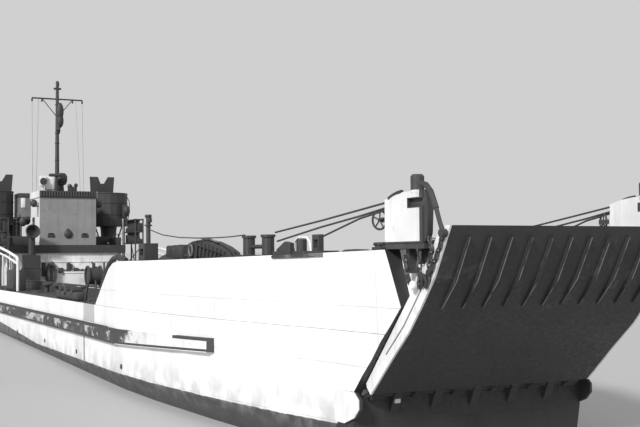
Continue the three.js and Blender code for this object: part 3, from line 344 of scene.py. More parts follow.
def canvas_cover():
    g = Graph("canvas")
    colour = g.blend(g.noise(3, 6), grey(0.05), grey(0.12))
    weave = g.plus(g.seams("Y", 0.012, 0.004), g.seams("Z", 0.012, 0.004))
    g.bump(g.plus(g.noise(2.2, 5), g.times(weave, 0.03)), 0.7, 0.02)
    return g.finish(colour, 0.9)


def wire_rope():
    g = Graph("wire_rope")
    lay = g.seams("X", 0.03, 0.012)
    colour = g.blend(lay, grey(0.03), grey(0.1))
    g.bump(lay, 0.5, 0.003)
    return g.finish(colour, 0.55, 0.3)


def glass():
    g = Graph("glass")
    smear = g.noise(8, 4)
    g.bump(smear, 0.05, 0.002)
    return g.finish(g.blend(smear, grey(0.02), grey(0.05)), g.patchy(smear, 0.08, 0.2))


def worn_edge():
    """Bare steel where paint has rubbed off, broken by paint that is left."""
    g = Graph("worn_edge")
    left = g.ramp(g.noise(3.5, 5), 0.42, 0.56)
    g.bump(g.noise(20, 3), 0.3, 0.003)
    return g.finish(g.blend(left, grey(0.045), grey(0.17)), 0.5, 0.2)


def belt_paint():
    """The rubbing strake: black aft, its face white at the forward end between broken black edges; its
    underside there is painted white as painted light over its shade.
    """
    def dark_share(g):
        x, z = g.axis("X"), g.axis("Z")
        ahead = g.most(g.less(x, 13 * M), 0.0)
        from_top = g.less(g.plus(2.56 * M, g.times(ahead, 0.15 / 6.88)), z)
        from_foot = g.less(z, g.plus(2.11 * M, g.times(ahead, 0.25 / 6.88)))
        cloud = g.noise(1.0, 6, 0.7, g.mapped((2.2, 1, 3.4)))
        patches = g.ramp(cloud, 0.5, 0.58)
        forward = g.ramp(g.plus(g.sum("DIVIDE", x, 15 * M), g.times(cloud, 0.5)), 1.16, 1.26)
        face = g.most(forward, g.times(patches, 0.6))
        middle = g.times(g.above(from_top, 0.08 * M), g.above(from_foot, 0.07 * M))
        recoloured_incl_painted_shading = g.times(middle, face)
        gap = g.times(g.within(x, 14.2 * M, 17.7 * M), g.above(from_foot, 0.07 * M))
        # The underside at the forward end is painted white: painted light over the shade beneath the strake.
        under = g.times(g.above(x, 13 * M), g.below(from_foot, 0.006 * M))
        recoloured_incl_painted_shading = g.most(recoloured_incl_painted_shading, g.most(g.times(gap, forward), under))
        recoloured_incl_painted_shading = g.times(recoloured_incl_painted_shading, g.below(x, BELT_END_X - 0.15 * M))
        return g.less(1.0, recoloured_incl_painted_shading, clamp=True)
    return two_tone_paint("belt_paint", dark_share)


def horn_paint():
    """The sheave box is white; its head and hand wheel are dark; its posts and foot are dark paint with
    painted shade under the box; its front and slot are painted shade.
    """
    def dark_share(g):
        x, z = g.axis("X"), g.axis("Z")
        # Below the box: posts and foot, dark paint with painted shade under the box.
        low = g.below(z, 5.03 * M)
        head = g.above(z, 6.0 * M)
        # The front face and the slot are painted dark as painted shade.
        front = g.above(x, HORN_X + 1.17 * M)
        slot = g.times(g.above(x, HORN_X + 0.73 * M), g.within(z, 5.66 * M, 5.86 * M))
        wheel = g.below(x, HORN_X - 0.16 * M)
        return g.most(g.most(low, head),
                     g.most(g.most(front, slot), wheel))
    return two_tone_paint("horn_paint", dark_share)


def door_paint():
    """The bow door is dark, with white flanges at its sides."""
    return two_tone_paint("door_paint", dark=0.035, share_of_dark=lambda g: g.below(
        g.sum("ABSOLUTE", g.axis("Y")), DOOR_HALF - 0.045 * M))


def wheelhouse_paint():
    """The wheelhouse is white, with its front painted grey as painted shade, and dark inside."""
    g = Graph("wheelhouse_paint")
    fine = hammered(g)
    # The front is painted grey: painted shade on the white paint.
    front = g.above(g.axis("X"), WHEEL_FRONT_X - 0.05 * M)
    colour = g.blend(front, weathered(g, 0.78, 0.3, 0.2), weathered(g, 0.26, 0.3, 0.2))
    return g.finish(colour, g.patchy(fine, 0.5, 0.7))


def bridge_paint():
    """The bridge deck: dark edge and walking surface, white pillars below."""
    return two_tone_paint("bridge_paint", dark=0.045, share_of_dark=lambda g: g.above(
        g.axis("Z"), BRIDGE_FLOOR_Z - 0.14 * M))


def tank_floor_paint():
    """The hold's floor is dark where it ends at the door: dark paint, with painted shade below the hinge."""
    return two_tone_paint("tank_floor_paint", light=0.16, dark=0.03, share_of_dark=lambda g: g.above(
        g.axis("X"), HORN_X - 2.2 * M))


def roof_paint():
    """The wheelhouse roof: white rim at the sides, dark front, compass stand and walking surface."""
    def dark_share(g):
        y, z = g.axis("Y"), g.axis("Z")
        rim = g.above(g.sum("ABSOLUTE", y), 1.62 * M)
        lamp = g.times(g.above(z, 8.6 * M), g.below(y, -0.9 * M))
        return g.less(1.0, g.most(rim, lamp), clamp=True)
    return two_tone_paint("roof_paint", dark_share, dark=0.05)


MATERIALS = {
    "white_paint": ship_paint("white_paint", 0.8),
    "grey_paint": ship_paint("grey_paint", 0.2),
    "dark_paint": ship_paint("dark_paint", 0.04, stain=0.2, wear=0.3),
    "deck_paint": deck_paint(),
    "bottom_paint": hull_paint(),
    "bronze": bronze(),
    "canvas": canvas_cover(),
    "wire_rope": wire_rope(),
    "glass": glass(),
    "worn_edge": worn_edge(),
    "belt_paint": belt_paint(),
    "horn_paint": horn_paint(),
    "door_paint": door_paint(),
    "wheelhouse_paint": wheelhouse_paint(),
    "bridge_paint": bridge_paint(),
    "tank_floor_paint": tank_floor_paint(),
    "roof_paint": roof_paint(),
}
NODE_FINISH = {
    "side_tank_starboard": "bottom_paint", "side_tank_port": "bottom_paint",
    "stern_hull": "bottom_paint", "hull_bottom": "bottom_paint",
    "belting_starboard": "belt_paint", "belting_port": "belt_paint",
    "horn_starboard": "horn_paint", "horn_port": "horn_paint",
    "bow_door": "door_paint", "wheelhouse": "wheelhouse_paint", "wheelhouse_roof": "roof_paint",
    "bridge_deck": "bridge_paint", "tank_deck": "tank_floor_paint",
    "ready_locker": "white_paint", "mast": "dark_paint",
}


def dress_frame():
    slots = {row["node"]: row["material_slot"] for row in frame["record"]["subparts"]}
    for name, obj in frame["nodes"].items():
        obj.data.materials.clear()
        obj.data.materials.append(MATERIALS[NODE_FINISH.get(name, slots[name])])


MUSHROOM_CAP = ((0, 0), (0.11, 0), (0.12, 0.03), (0.08, 0.07), (0, 0.085))
SMALL_CAP = ((0, 0), (0.1, 0), (0.11, 0.03), (0.07, 0.06), (0, 0.075))
MANHOLE = ((0, 0), (0.17, 0), (0.17, 0.012), (0.14, 0.026), (0, 0.03))
BOW_MANHOLE = ((0, 0), (0.16, 0), (0.16, 0.015), (0.13, 0.03), (0, 0.035))


def edges_of(made):
    """The edges of a new shape, each once and in the same order on every run."""
    return list(dict.fromkeys(edge for vert in made["verts"] for edge in vert.link_edges))


def turned_to(centre, axis):
    """A frame at a place, with its Z along an axis."""
    return Matrix.Translation(centre) @ Vector(axis).to_track_quat("Z", "Y").to_matrix().to_4x4()


class Kit:
    """Gathers the shapes of one piece."""

    def __init__(self):
        self.mesh = bmesh.new()

    def take(self, other, matrix=Matrix()):
        other.transform(matrix)
        data = bpy.data.meshes.new("taken")
        other.to_mesh(data)
        other.free()
        self.mesh.from_mesh(data)
        bpy.data.meshes.remove(data)

    def block(self, low, high, round_by=0.0, segments=2):
        size = [abs(far - near) for near, far in zip(low, high)]
        place = Matrix.Translation((low + high) / 2) @ Matrix.Diagonal((*size, 1))
        made = bmesh.ops.create_cube(self.mesh, size=1.0, matrix=place)
        if round_by:
            edges = edges_of(made)
            bmesh.ops.bevel(self.mesh, geom=edges, offset=round_by, segments=segments, profile=0.5,
                            affect="EDGES", material=-1)

    def slab(self, foot, size, round_by=0.0):
        """A block given by the middle of its foot and its three sizes."""
        low = foot - Vector((size[0] / 2, size[1] / 2, 0))
        self.block(low, low + Vector(size), round_by)

    def rod(self, start, end, radius, sides=8, end_radius=None):
        bmesh.ops.create_cone(self.mesh, cap_ends=True, cap_tris=False, segments=sides, radius1=radius,
                              radius2=radius if end_radius is None else end_radius,
                              depth=(end - start).length, matrix=turned_to((start + end) / 2, end - start))

    def path(self, points, radius, sides=6):
        for start, end in zip(points, points[1:]):
            self.rod(start, end, radius, sides)
        for point in points[1:-1]:
            bmesh.ops.create_icosphere(self.mesh, subdivisions=1, radius=radius,
                                       matrix=Matrix.Translation(point))

    def ball(self, centre, radius, stretch=(1, 1, 1)):
        bmesh.ops.create_uvsphere(self.mesh, u_segments=14, v_segments=8, radius=radius,
                                  matrix=Matrix.Translation(centre) @ Matrix.Diagonal((*stretch, 1)))

    def spin(self, other, geometry, steps, matrix):
        """Geometry turned once about Z, then put in its place."""
        bmesh.ops.spin(other, geom=geometry, cent=(0, 0, 0), axis=(0, 0, 1), dvec=(0, 0, 0),
                       angle=2 * math.pi, steps=steps, use_merge=True)
        bmesh.ops.remove_doubles(other, verts=other.verts, dist=1e-6)
        self.take(other, matrix)

    def hoop(self, radius, wire, steps, sides, matrix):
        """A round bar bent to a hoop about Z."""
        other = bmesh.new()
        section = bmesh.ops.create_circle(
            other, segments=sides, radius=wire,
            matrix=Matrix.Translation((radius, 0, 0)) @ Matrix.Rotation(math.pi / 2, 4, "X"))
        self.spin(other, section["verts"] + edges_of(section), steps, matrix)

    def ring(self, centre, axis, radius, wire, steps=24, sides=8, stretch=(1, 1, 1)):
        """A hoop about an axis."""
        self.hoop(radius, wire, steps, sides, turned_to(centre, axis) @ Matrix.Diagonal((*stretch, 1)))

    def turned(self, profile, centre, axis=(0, 0, 1), steps=20):
        """A shape turned about an axis, from (radius, height) pairs that start and end on it."""
        other = bmesh.new()
        verts = [other.verts.new((radius, 0, height)) for radius, height in profile]
        edges = [other.edges.new(pair) for pair in zip(verts, verts[1:])]
        self.spin(other, verts + edges, steps, turned_to(centre, axis))

    def rods(self, side, *rows):
        """Rods between two places in full-size metres, on one side of the craft, with radius and sides."""
        for row in rows:
            start, end = (at(x, side * y, z) for x, y, z in (row[:3], row[3:6]))
            self.rod(start, end, *row[6:])

    def blocks(self, side, *rows):
        """Blocks between corners in full-size metres, on one side of the craft, each with its rounding."""
        for row in rows:
            low, high = (at(x, side * y, z) for x, y, z in (row[:3], row[3:6]))
            self.block(low, high, *row[6:])

    def mushroom(self, base, height, cap=MUSHROOM_CAP):
        """A ventilator: a round stalk and its cap."""
        self.rod(base, base + up(height), 0.05, 12)
        self.turned(cap, base + up(height - 0.01), steps=18)

    def rung(self, place, near, far):
        """A bent rung on a wall that faces aft."""
        bends = ((near, -0.07), (far, -0.07), (far, 0.07), (near, 0.07))
        self.path([place + Vector((x, y, 0)) for x, y in bends], 0.008, 5)

    def dogs(self, box, side, half, heights, stub):
        """The dogs of a hinged door at shares of its height."""
        low, high = box
        for share in heights:
            place = Vector((low.x + 0.05, side * half, low.z + share * (high.z - low.z)))
            lever = place + Vector((0, side * 0.02, 0))
            self.rod(place, place + Vector((0, side * stub, 0)), 0.012)
            self.rod(lever, lever + Vector((0.06, 0, 0)), 0.007, 6)

    def steps(self, start, end, low, pitch, count):
        """Rungs between two uprights, each given by its x and y."""
        for i in range(count):
            self.rod(at(*start, low + pitch * i), at(*end, low + pitch * i), 0.01, 6)

    def plate(self, points, across):
        """A flat outline, carried across by a vector."""
        face = self.mesh.faces.new([self.mesh.verts.new(point) for point in points])
        made = bmesh.ops.extrude_face_region(self.mesh, geom=[face])
        verts = [item for item in made["geom"] if isinstance(item, bmesh.types.BMVert)]
        bmesh.ops.translate(self.mesh, verts=verts, vec=across)

    def chain(self, points, link, wire):
        """Links of a chain along a path, each a quarter turned from the last."""
        count = 0
        for start, end in zip(points, points[1:]):
            along = end - start
            steps = max(1, round(along.length / (link * 1.25)))
            turn = along.to_track_quat("X", "Z").to_matrix().to_4x4()
            for i in range(steps):
                roll = Matrix.Rotation(math.pi / 2 * (count % 2), 4, "X") @ Matrix.Diagonal((1.9, 1, 1, 1))
                middle = Matrix.Translation(start + along * ((i + 0.5) / steps))
                self.hoop(link * 0.36, wire, 8, 4, middle @ turn @ roll)
                count += 1

    def done(self, name, finish="dark_paint", body=CRAFT, replaces=()):
        bmesh.ops.recalc_face_normals(self.mesh, faces=self.mesh.faces)
        data = bpy.data.meshes.new(name)
        self.mesh.to_mesh(data)
        self.mesh.free()
        data.materials.append(MATERIALS[finish])
        data.shade_smooth()
        data.set_sharp_from_angle(angle=SHARP_ANGLE)
        piece = bpy.data.objects.new(name, data)
        bpy.context.scene.collection.objects.link(piece)
        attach(piece, body)
        if replaces:
            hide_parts(*replaces)
        return piece


def make_door_details():
    """Rib crests, light as worn steel and as painted highlights, flange seams, ramp cleats and lifting lugs
    of the bow door.
    """
    # Light rods on the rib crests: worn steel, standing partly for painted highlights.
    crest = Kit()
    pitch = 2 * DOOR_HALF / 12
    foot = off_horn(1.0, 0, 3.745)
    elbow = off_horn(1.518, 0, 4.277)
    head = off_horn(1.978, 0, 5.082)
    for i in range(1, 12):
        y = Vector((0, -DOOR_HALF + i * pitch, 0))
        crest.rod(foot + y, elbow + y, 0.005, 5)
        crest.rod(elbow + y, head + y, 0.005, 5)
    crest.done("door_rib_crests_wear_and_highlights", "worn_edge", "bow_door")

    line = Kit()
    for side in SIDES:
        edge = [off_horn(forward - 0.03, side * 2.812, z) for forward, z in DOOR_FACE[1:]]
        line.path(edge, 0.006, 5)
    line.done("door_edge_wear", "worn_edge", "bow_door")

    seam = Kit()
    slope = math.atan2(5.304 - 1.914, 2.03 + 1.02)
    inward = Vector((-math.sin(slope), 0, math.cos(slope))) * 0.2 * M
    for side in SIDES:
        edge = [off_horn(forward, side * 2.836, z) + inward for forward, z in DOOR_FACE[1:-1]]
        seam.path(edge, 0.007, 5)
    seam.done("door_flange_seams", "grey_paint", "bow_door")

    cleats = Kit()
    inner = [off_horn(forward, 0, z) + inward * 1.1 for forward, z in DOOR_FACE]
    inner[-1] = inner[-2].lerp(inner[-1], 0.7)
    for start, end in zip(inner, inner[1:]):
        steps = max(2, round((end - start).length / (0.24 * M)))
        for i in range(steps):
            middle = start + (end - start) * ((i + 0.5) / steps) + inward * 0.05
            cleats.rod(middle - Vector((0, 2.5 * M, 0)), middle + Vector((0, 2.5 * M, 0)), 0.014, 4)
    for side in SIDES:
        curb = [point + Vector((0, side * 2.58 * M, 0)) + inward * 0.12 for point in inner]
        cleats.path(curb, 0.03)
    cleats.done("door_ramp_cleats", "deck_paint", "bow_door")

    lugs = Kit()
    for side in SIDES:
        top = off_horn(1.56, side * 2.66, 5.1)
        lugs.slab(top - up(0.1), (0.12, 0.05, 0.13), 0.01)
        lugs.ring(top + Vector((-0.03, 0, 0.0)), (0, 1, 0), 0.04, 0.014, 16, 6)
    lugs.done("door_lifting_lugs", "dark_paint", "bow_door")

    # A small white lug by the starboard hinge, put for a light spot: a painted highlight.
    hinge_lug_highlight = Kit()
    hinge_lug_highlight.slab(off_horn(-1.37, -2.0, 1.65), (0.04, 0.07, 0.05), 0.01)
    hinge_lug_highlight.done("hinge_lug_painted_highlight", "white_paint")


def make_horn_details(side, tag):
    """Brow, front cheek, slanting arm, chains and pin of each sheave box."""
    strands = (
        ((1.86, 5.12), (1.74, 4.9), (1.6, 4.7), (1.46, 4.5), (1.3, 4.24)),
        ((1.4, 5.1), (1.49, 4.86), (1.37, 4.67), (1.39, 4.5), (1.2, 4.3)),
        ((1.05, 4.95), (1.04, 4.49), (1.05, 4.16)),
        ((0.5, 4.75), (0.56, 4.48), (0.63, 4.25)),
    )
    kit = Kit()
    brow = ((0.0, 5.885), (0.14, 5.935), (0.3, 5.97), (0.5, 5.99))
    kit.path([off_horn(forward, side * 2.925, z) for forward, z in brow], 0.022, 6)
    cheek = ((1.27, 5.02), (1.34, 5.02), (1.42, 5.18), (1.45, 5.6), (1.4, 5.86), (1.34, 5.98), (1.27, 5.98))
    kit.plate([off_horn(forward, side * 2.93, z) for forward, z in cheek], Vector((0, -side * 0.06, 0)))
    arm = [off_horn(forward, side * 2.89, z) for forward, z in
           ((1.14, 6.1), (1.32, 6.08), (1.49, 5.94), (1.67, 5.62), (1.78, 5.38), (1.89, 5.16))]
    kit.path(arm[:4], 0.028, 8)
    kit.path(arm[3:], 0.022, 8)
    kit.turned(((0, -0.03), (0.04, -0.03), (0.04, 0.03), (0, 0.03)), arm[-1], (0, 1, 0), 14)
    kit.done(f"horn_gear_{tag}")

    tangle = Kit()
    for strand, link in zip(strands, (0.05, 0.05, 0.065, 0.05)):
        tangle.chain([off_horn(forward, side * 2.88, z) for forward, z in strand], link, 0.0125)
    for forward, z, size in ((1.1, 4.3, 0.045), (0.66, 4.3, 0.035), (1.24, 4.28, 0.045)):
        tangle.ring(off_horn(forward, side * 2.89, z), (0.3, 1, 0.2), size, 0.014, 16, 6, (1, 1.3, 1))
    tangle.done(f"door_chains_{tag}")

    pin = Kit()
    pin.turned(((0, -0.03), (0.035, -0.03), (0.042, -0.02), (0.042, 0.02), (0.035, 0.03), (0, 0.03)),
               off_horn(0.91, side * 2.93, 4.2), (0, 1, 0), 16)
    pin.done(f"chain_pin_{tag}", "white_paint")


def make_bow_rigging(side, tag):
    """Hoist wires from the bitts to the sheave boxes, and the slack wire along the stowage."""
    routes = (
        ((-4.77, 3.3, 5.33), (-2.7, 3.1, 5.54), (-0.15, 2.88, 5.82)),
        ((-4.66, 3.3, 5.12), (-2.7, 3.1, 5.4), (-1.16, 2.97, 5.58), (-0.13, 2.88, 5.72)),
        ((-2.54, 3.12, 5.2), (-1.16, 2.97, 5.53), (-0.13, 2.88, 5.68)),
    )
    kit = Kit()
    for route in routes:
        kit.path([off_horn(forward, side * y, z) for forward, y, z in route], 0.011, 6)
    slack = [(-12.4, 4.1, 5.6), (-11.3, 4.02, 5.41), (-10.07, 3.9, 5.31), (-8.76, 3.8, 5.27),
             (-7.6, 3.68, 5.26), (-6.9, 3.6, 5.27), (-6.25, 3.48, 5.3)]
    kit.path([off_horn(forward, side * y, z) for forward, y, z in slack], 0.008, 6)
    kit.done(f"hoist_wires_{tag}", "wire_rope")


def make_stowed_gear(side, tag):
    """What is stowed on each raised deck: a locker, a hand winch and a long sloping pile of bars."""
    low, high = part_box(f"stowed_gear_{tag}")
    middle_y = (low.y + high.y) / 2
    half = (high.y - low.y) / 2 - 0.01

    def put(forward, off, height):
        return Vector((HORN_X + forward * M, middle_y + off, (bow_deck_z(forward) + height) * M))

    kit = Kit()
    kit.block(put(-12.0, -half, 0.0), put(-10.55, half, 0.4), 0.02)
    for forward in (-11.85, -11.35, -10.85):
        kit.block(put(forward, -half - 0.006, 0.0), put(forward + 0.1, half + 0.006, 0.43), 0.006, 1)
    kit.rod(put(-10.5, -half * 0.4, 0.1), put(-9.2, -half * 0.4, 0.1), 0.03)
    kit.rod(put(-9.8, -half * 0.9, 0.24), put(-9.8, half * 0.9, 0.24), 0.06, 16)
    for forward in (-10.1, -9.5):
        kit.plate([put(forward - 0.14, -half * 0.7, 0.0), put(forward + 0.14, -half * 0.7, 0.0),
                   put(forward + 0.06, -half * 0.7, 0.42), put(forward - 0.06, -half * 0.7, 0.42)],
                  Vector((0, half * 1.4, 0)))
    pile = ((-10.5, 0.0), (-10.5, 0.4), (-9.9, 0.5), (-9.0, 0.53), (-8.2, 0.47), (-7.4, 0.31), (-6.9, 0.16),
            (-6.75, 0.0))
    for off, drop, wide in ((-0.9, 0.04, 0.35), (-0.35, 0.0, 0.4), (0.25, 0.03, 0.6)):
        outline = [put(forward, half * off, max(0.0, height - drop)) for forward, height in pile]
        kit.plate([point for i, point in enumerate(outline) if off > -0.8 or i not in (0, 1)],
                  Vector((0, half * wide, 0)))
    for i in range(8):
        forward = -9.3 + 0.3 * i
        top = 0.5 - 0.05 * i
        kit.rod(put(forward, -half * 0.94, 0.02), put(forward + 0.1, -half * 0.94, top), 0.016, 6)
        kit.rod(put(forward, half * 0.9, 0.02), put(forward + 0.1, half * 0.9, top), 0.016, 6)
    kit.done(f"deck_stowage_{tag}", replaces=(f"stowed_gear_{tag}",))

    rim = Kit()
    rim.ring(put(-9.75, -half * 0.98 * -side, 0.24), (0, 1, 0), 0.075, 0.012, 24, 6)
    rim.path([put(-8.9, -half * 0.9 * -side, 0.55), put(-8.3, -half * 0.9 * -side, 0.52),
              put(-7.7, -half * 0.9 * -side, 0.42)], 0.012, 6)
    rim.done(f"stowage_light_parts_{tag}", "grey_paint")


def make_bow_deck_fittings(side, tag):
    """Cleats, lead frames, edge lips, step fenders, pole heads, manholes and eyes of the raised decks."""
    kit = Kit()
    base = off_horn(-0.53, side * 2.86, bow_deck_z(-0.53))
    kit.slab(base, (0.2, 0.07, 0.03), 0.006)
    kit.rod(base + up(0.02), base + up(0.06), 0.022)
    kit.rod(base + Vector((-0.1, 0, 0.06)), base + Vector((0.1, 0, 0.06)), 0.018)
    low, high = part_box(f"square_fairlead_{tag}")
    pole = Vector(((low.x + high.x) / 2, (low.y + high.y) / 2, high.z))
    kit.turned(((0, -0.05), (0.045, -0.05), (0.055, -0.02), (0.045, 0.0), (0, 0.0)), pole, steps=12)
    kit.block(pole + Vector((0.02, -0.03, -0.12)), pole + Vector((0.1, 0.03, -0.05)), 0.01)
    kit.rod(pole - up(0.17), pole - up(0.15), 0.06, 10)
    for x, y in ((-7.2, 4.0), (-10.9, 4.6), (-2.2, 2.9)):
        kit.turned(BOW_MANHOLE, off_horn(x, side * y * 0.86, bow_deck_z(x)))
    kit.done(f"bow_deck_fittings_{tag}")

    edge = Kit()
    lip = [(x, hull_half(HORN_X + x * M) + 0.006) for x in (-4.2, -3.5, -2.9, -2.2)]
    for (x0, y0), (x1, y1) in zip(lip, lip[1:]):
        edge.rod(Vector((HORN_X + x0 * M, side * y0, (bow_deck_z(x0) - 0.05) * M)),
                 Vector((HORN_X + x1 * M, side * y1, (bow_deck_z(x1) - 0.05) * M)), 0.022, 6)
    edge.done(f"lead_edge_lip_{tag}", "worn_edge")

    fender = Kit()
    line = ((-13.95, 4.68), (-14.5, 4.76), (-15.12, 4.78), (-15.7, 4.66), (-16.15, 4.45), (-16.5, 4.12),
            (-16.85, 3.8), (-17.2, 3.42))
    points = [off_horn(forward, side * 4.36, z) for forward, z in line]
    fender.path(points, 0.04, 10)
    for start, end in zip(points, points[1:]):
        fender.ring((start + end) / 2, end - start, 0.041, 0.008, 14, 5)
    fender.done(f"step_fender_{tag}")

    lead = Kit()
    loop = ((-3.9, 4.84), (-3.84, 5.1), (-3.65, 5.19), (-3.2, 5.18), (-3.04, 5.08), (-2.98, 4.86))
    lead.path([off_horn(forward, side * 3.22, z) for forward, z in loop], 0.013, 6)
    lead.done(f"roller_frame_{tag}", "white_paint")


def make_hull_details(side, tag):
    """Scuppers, inlets, pads, stem cheeks and the strake's edge bars."""
    bars = Kit()
    stations = [-24 + 1.2 * i for i in range(31)]
    for level in (2.57, 2.15):
        line = []
        for x in stations:
            half = hull_half(x * M) if x > -18 else (4.6 - 0.012 * (x + 18) ** 2) * M
            line.append(Vector((x * M, side * (half + 0.085 * M), level * M)))
        bars.path(line, 0.014, 5)
    bars.done(f"strake_edges_{tag}")

    kit = Kit()
    for x in (13.3, 7.4, 1.8, -4.4, -9.8):
        half = hull_half(x * M) - 0.02
        kit.block(Vector((x * M - 0.02, side * half, 1.36 * M)),
                  Vector((x * M + 0.02, side * (half + 0.03), 1.5 * M)), 0.006)
    kit.done(f"scuppers_{tag}")

    outline = ((-2.4, 3.06, 1.24), (-1.75, 3.05, 1.25), (-1.3, 3.04, 1.42), (-1.12, 3.04, 1.6),
               (-1.12, 3.04, 1.8), (-1.3, 3.05, 1.94), (-2.4, 3.1, 1.95))
    for name, finish, inset, trim in (("stem_cheek_core", "dark_paint", 0.02, 0.0),
                                      ("stem_cheek", "white_paint", 0.0, 0.03)):
        cheek = Kit()
        cheek.plate([off_horn(forward - trim, side * (y - inset), z) for forward, y, z in outline],
                    Vector((0, -side * (0.01 + inset), 0)))
        cheek.done(f"{name}_{tag}", finish)

    under = Kit()
    for x in (-16.0, -12.6, -4, 4, 12):
        under.block(at(x, side * 2.2, 0) - Vector((0.12, 0.06, 0.0)),
                    at(x, side * 2.2, 0) + Vector((0.12, 0.06, 0.004)), 0.001, 1)
    for i in range(6):
        x = -9.6 - 0.25 * i
        under.rods(side, (x, 3.2, 0.012, x, 3.7, 0.012, 0.006, 5))
    under.done(f"bottom_fittings_{tag}", "worn_edge")


def make_hold():
    """Frames, cap rails, ladders and eyes of the hold, and the cleats of its ramp."""
    wall_top = 2.98 * M
    for side, tag in NAMED_SIDES:
        kit = Kit()
        for i in range(52):
            x = -13.0 + 0.58 * i
            if x > 17.2:
                continue
            kit.block(Vector((x * M - 0.008, side * 2.9 * M, 1.38 * M)),
                      Vector((x * M + 0.008, side * 2.84 * M, wall_top)))
        for z in (1.9, 2.6):
            kit.rods(side, (-13.4, 2.87, z, 17.2, 2.87, z, 0.012, 6))
        kit.done(f"hold_frames_{tag}", "white_paint")

        stays = Kit()
        stays.rods(side, (-13.1, 2.865, 3.6, 9.8, 2.865, 3.6, 0.018, 8))
        stays.steps((-8.2, side * 2.8), (-7.5, side * 2.8), 1.7, 0.4, 5)
        for x in (-8.2, -7.5):
            stays.rods(side, (x, 2.8, 1.4, x, 2.8, 3.6, 0.012, 6), (x, 2.8, 3.6, x, 2.95, 3.56, 0.012, 6))
        stays.done(f"coaming_stays_{tag}")

        eyes = Kit()
        for i in range(14):
            x = -11.5 + 1.9 * i
            eyes.ring(at(x, side * 2.0, 1.375), (0, 0.3, 1), 0.03, 0.007, 12, 5)
            eyes.ring(at(x, side * 4.1, 3.215), (0.3, 0, 1), 0.03, 0.007, 12, 5)
        for x in (-10.5, -4.5, 1.5, 7.5):
            cover = at(x, side * 3.75, 3.2)
            eyes.turned(MANHOLE, cover)
            for k in range(10):
                angle = 2 * math.pi * k / 10
                bolt = cover + Vector((math.cos(angle), math.sin(angle), 0)) * 0.15
                eyes.rod(bolt, bolt + up(0.03), 0.008, 5)
        eyes.done(f"deck_eyes_{tag}")

    ramp = Kit()
    foot = Vector((HORN_X - 7.4 * M, 0, 1.385 * M))
    top = Vector((joint_x(1.83 * M) - 0.52 * M, 0, 1.845 * M))
    for i in range(22):
        middle = foot + (top - foot) * ((i + 0.5) / 22)
        ramp.rod(middle - Vector((0, 2.25 * M, 0)), middle + Vector((0, 2.25 * M, 0)), 0.012, 4)
    for i in range(30):
        x = -12.6 + i
        ramp.rods(1, (x, -2.7, 1.372, x, 2.7, 1.372, 0.006, 4))
    ramp.done("hold_floor_cleats", "deck_paint")


def make_side_deck_gear(side, tag):
    """White pipe frame, hand winch, stowed tank, mushroom vents and bent vent pipes on the side decks."""
    y = side * 4.2
    pipe = Kit()
    pipe.path([at(-6.7, y, 3.2), at(-6.7, y, 4.66), at(-6.95, y, 4.82), at(-9.6, y, 5.12), at(-12.2, y, 5.36),
               at(-14.2, y, 5.5)], 0.034, 8)
    pipe.path([at(-6.75, y, 4.5), at(-9.6, y, 4.84), at(-12.2, y, 5.06), at(-14.2, y, 5.18)], 0.026, 8)
    pipe.path([at(-12.2, y, 5.33), at(-12.2, y, 3.2)], 0.022, 8)
    pipe.done(f"pipe_frame_{tag}", "white_paint")

    gear = Kit()
    gear.blocks(side, (-9.3, 3.7, 3.2, -7.3, 4.3, 4.2, 0.03))
    gear.rods(side, (-8.3, 4.0, 4.2, -8.3, 4.0, 4.5, 0.07, 12))
    gear.blocks(side, (3.0, 4.0, 3.2, 6.6, 4.4, 3.5, 0.03))
    for x, size in ((3.6, 0.16), (4.6, 0.2), (5.7, 0.14)):
        gear.rods(1, (x, side * 4.2 - 0.2, 3.55, x, side * 4.2 + 0.2, 3.55, size * M, 14))
    gear.rods(side, (4.1, 4.0, 3.5, 6.4, 4.0, 3.72, 0.03, 8))
    gear.done(f"side_deck_stowage_{tag}")

    winch = Kit()
    centre = at(8.1, side * 4.15, 4.12)
    for x, out in ((-0.45, -0.2), (-0.45, 0.2), (0.45, 0.0)):
        head = centre + Vector((x * M * 0.6, out * M * 0.6, -0.08))
        winch.rod(head, at(8.1 + x, side * 4.15 + out, 3.2), 0.018)
    winch.rod(centre - Vector((0, 0.2 * M, 0)), centre + Vector((0, 0.2 * M, 0)), 0.15, 18)
    winch.ring(centre - Vector((0, 0.22 * M, 0)), (0, 1, 0), 0.17, 0.02, 22, 6)
    winch.ring(centre + Vector((0, 0.22 * M, 0)), (0, 1, 0), 0.17, 0.02, 22, 6)
    winch.rod(centre, centre + up(0.23), 0.03)
    winch.rod(centre + up(0.2), centre + Vector((-0.12, 0, 0.24)), 0.018, 6)
    winch.done(f"hand_winch_{tag}")

    vents = Kit()
    for x in (12.5, -1.8, -4.0):
        vents.mushroom(at(x, side * 3.35, 3.2), 0.16)
    for x in (10.6, -10.8):
        base = at(x, side * 3.3, 3.2)
        vents.path([base, base + up(0.2), base + Vector((0.04, 0, 0.25)),
                    base + Vector((0.1, 0, 0.25)), base + Vector((0.13, 0, 0.2))], 0.03, 8)
    vents.done(f"deck_vents_{tag}")


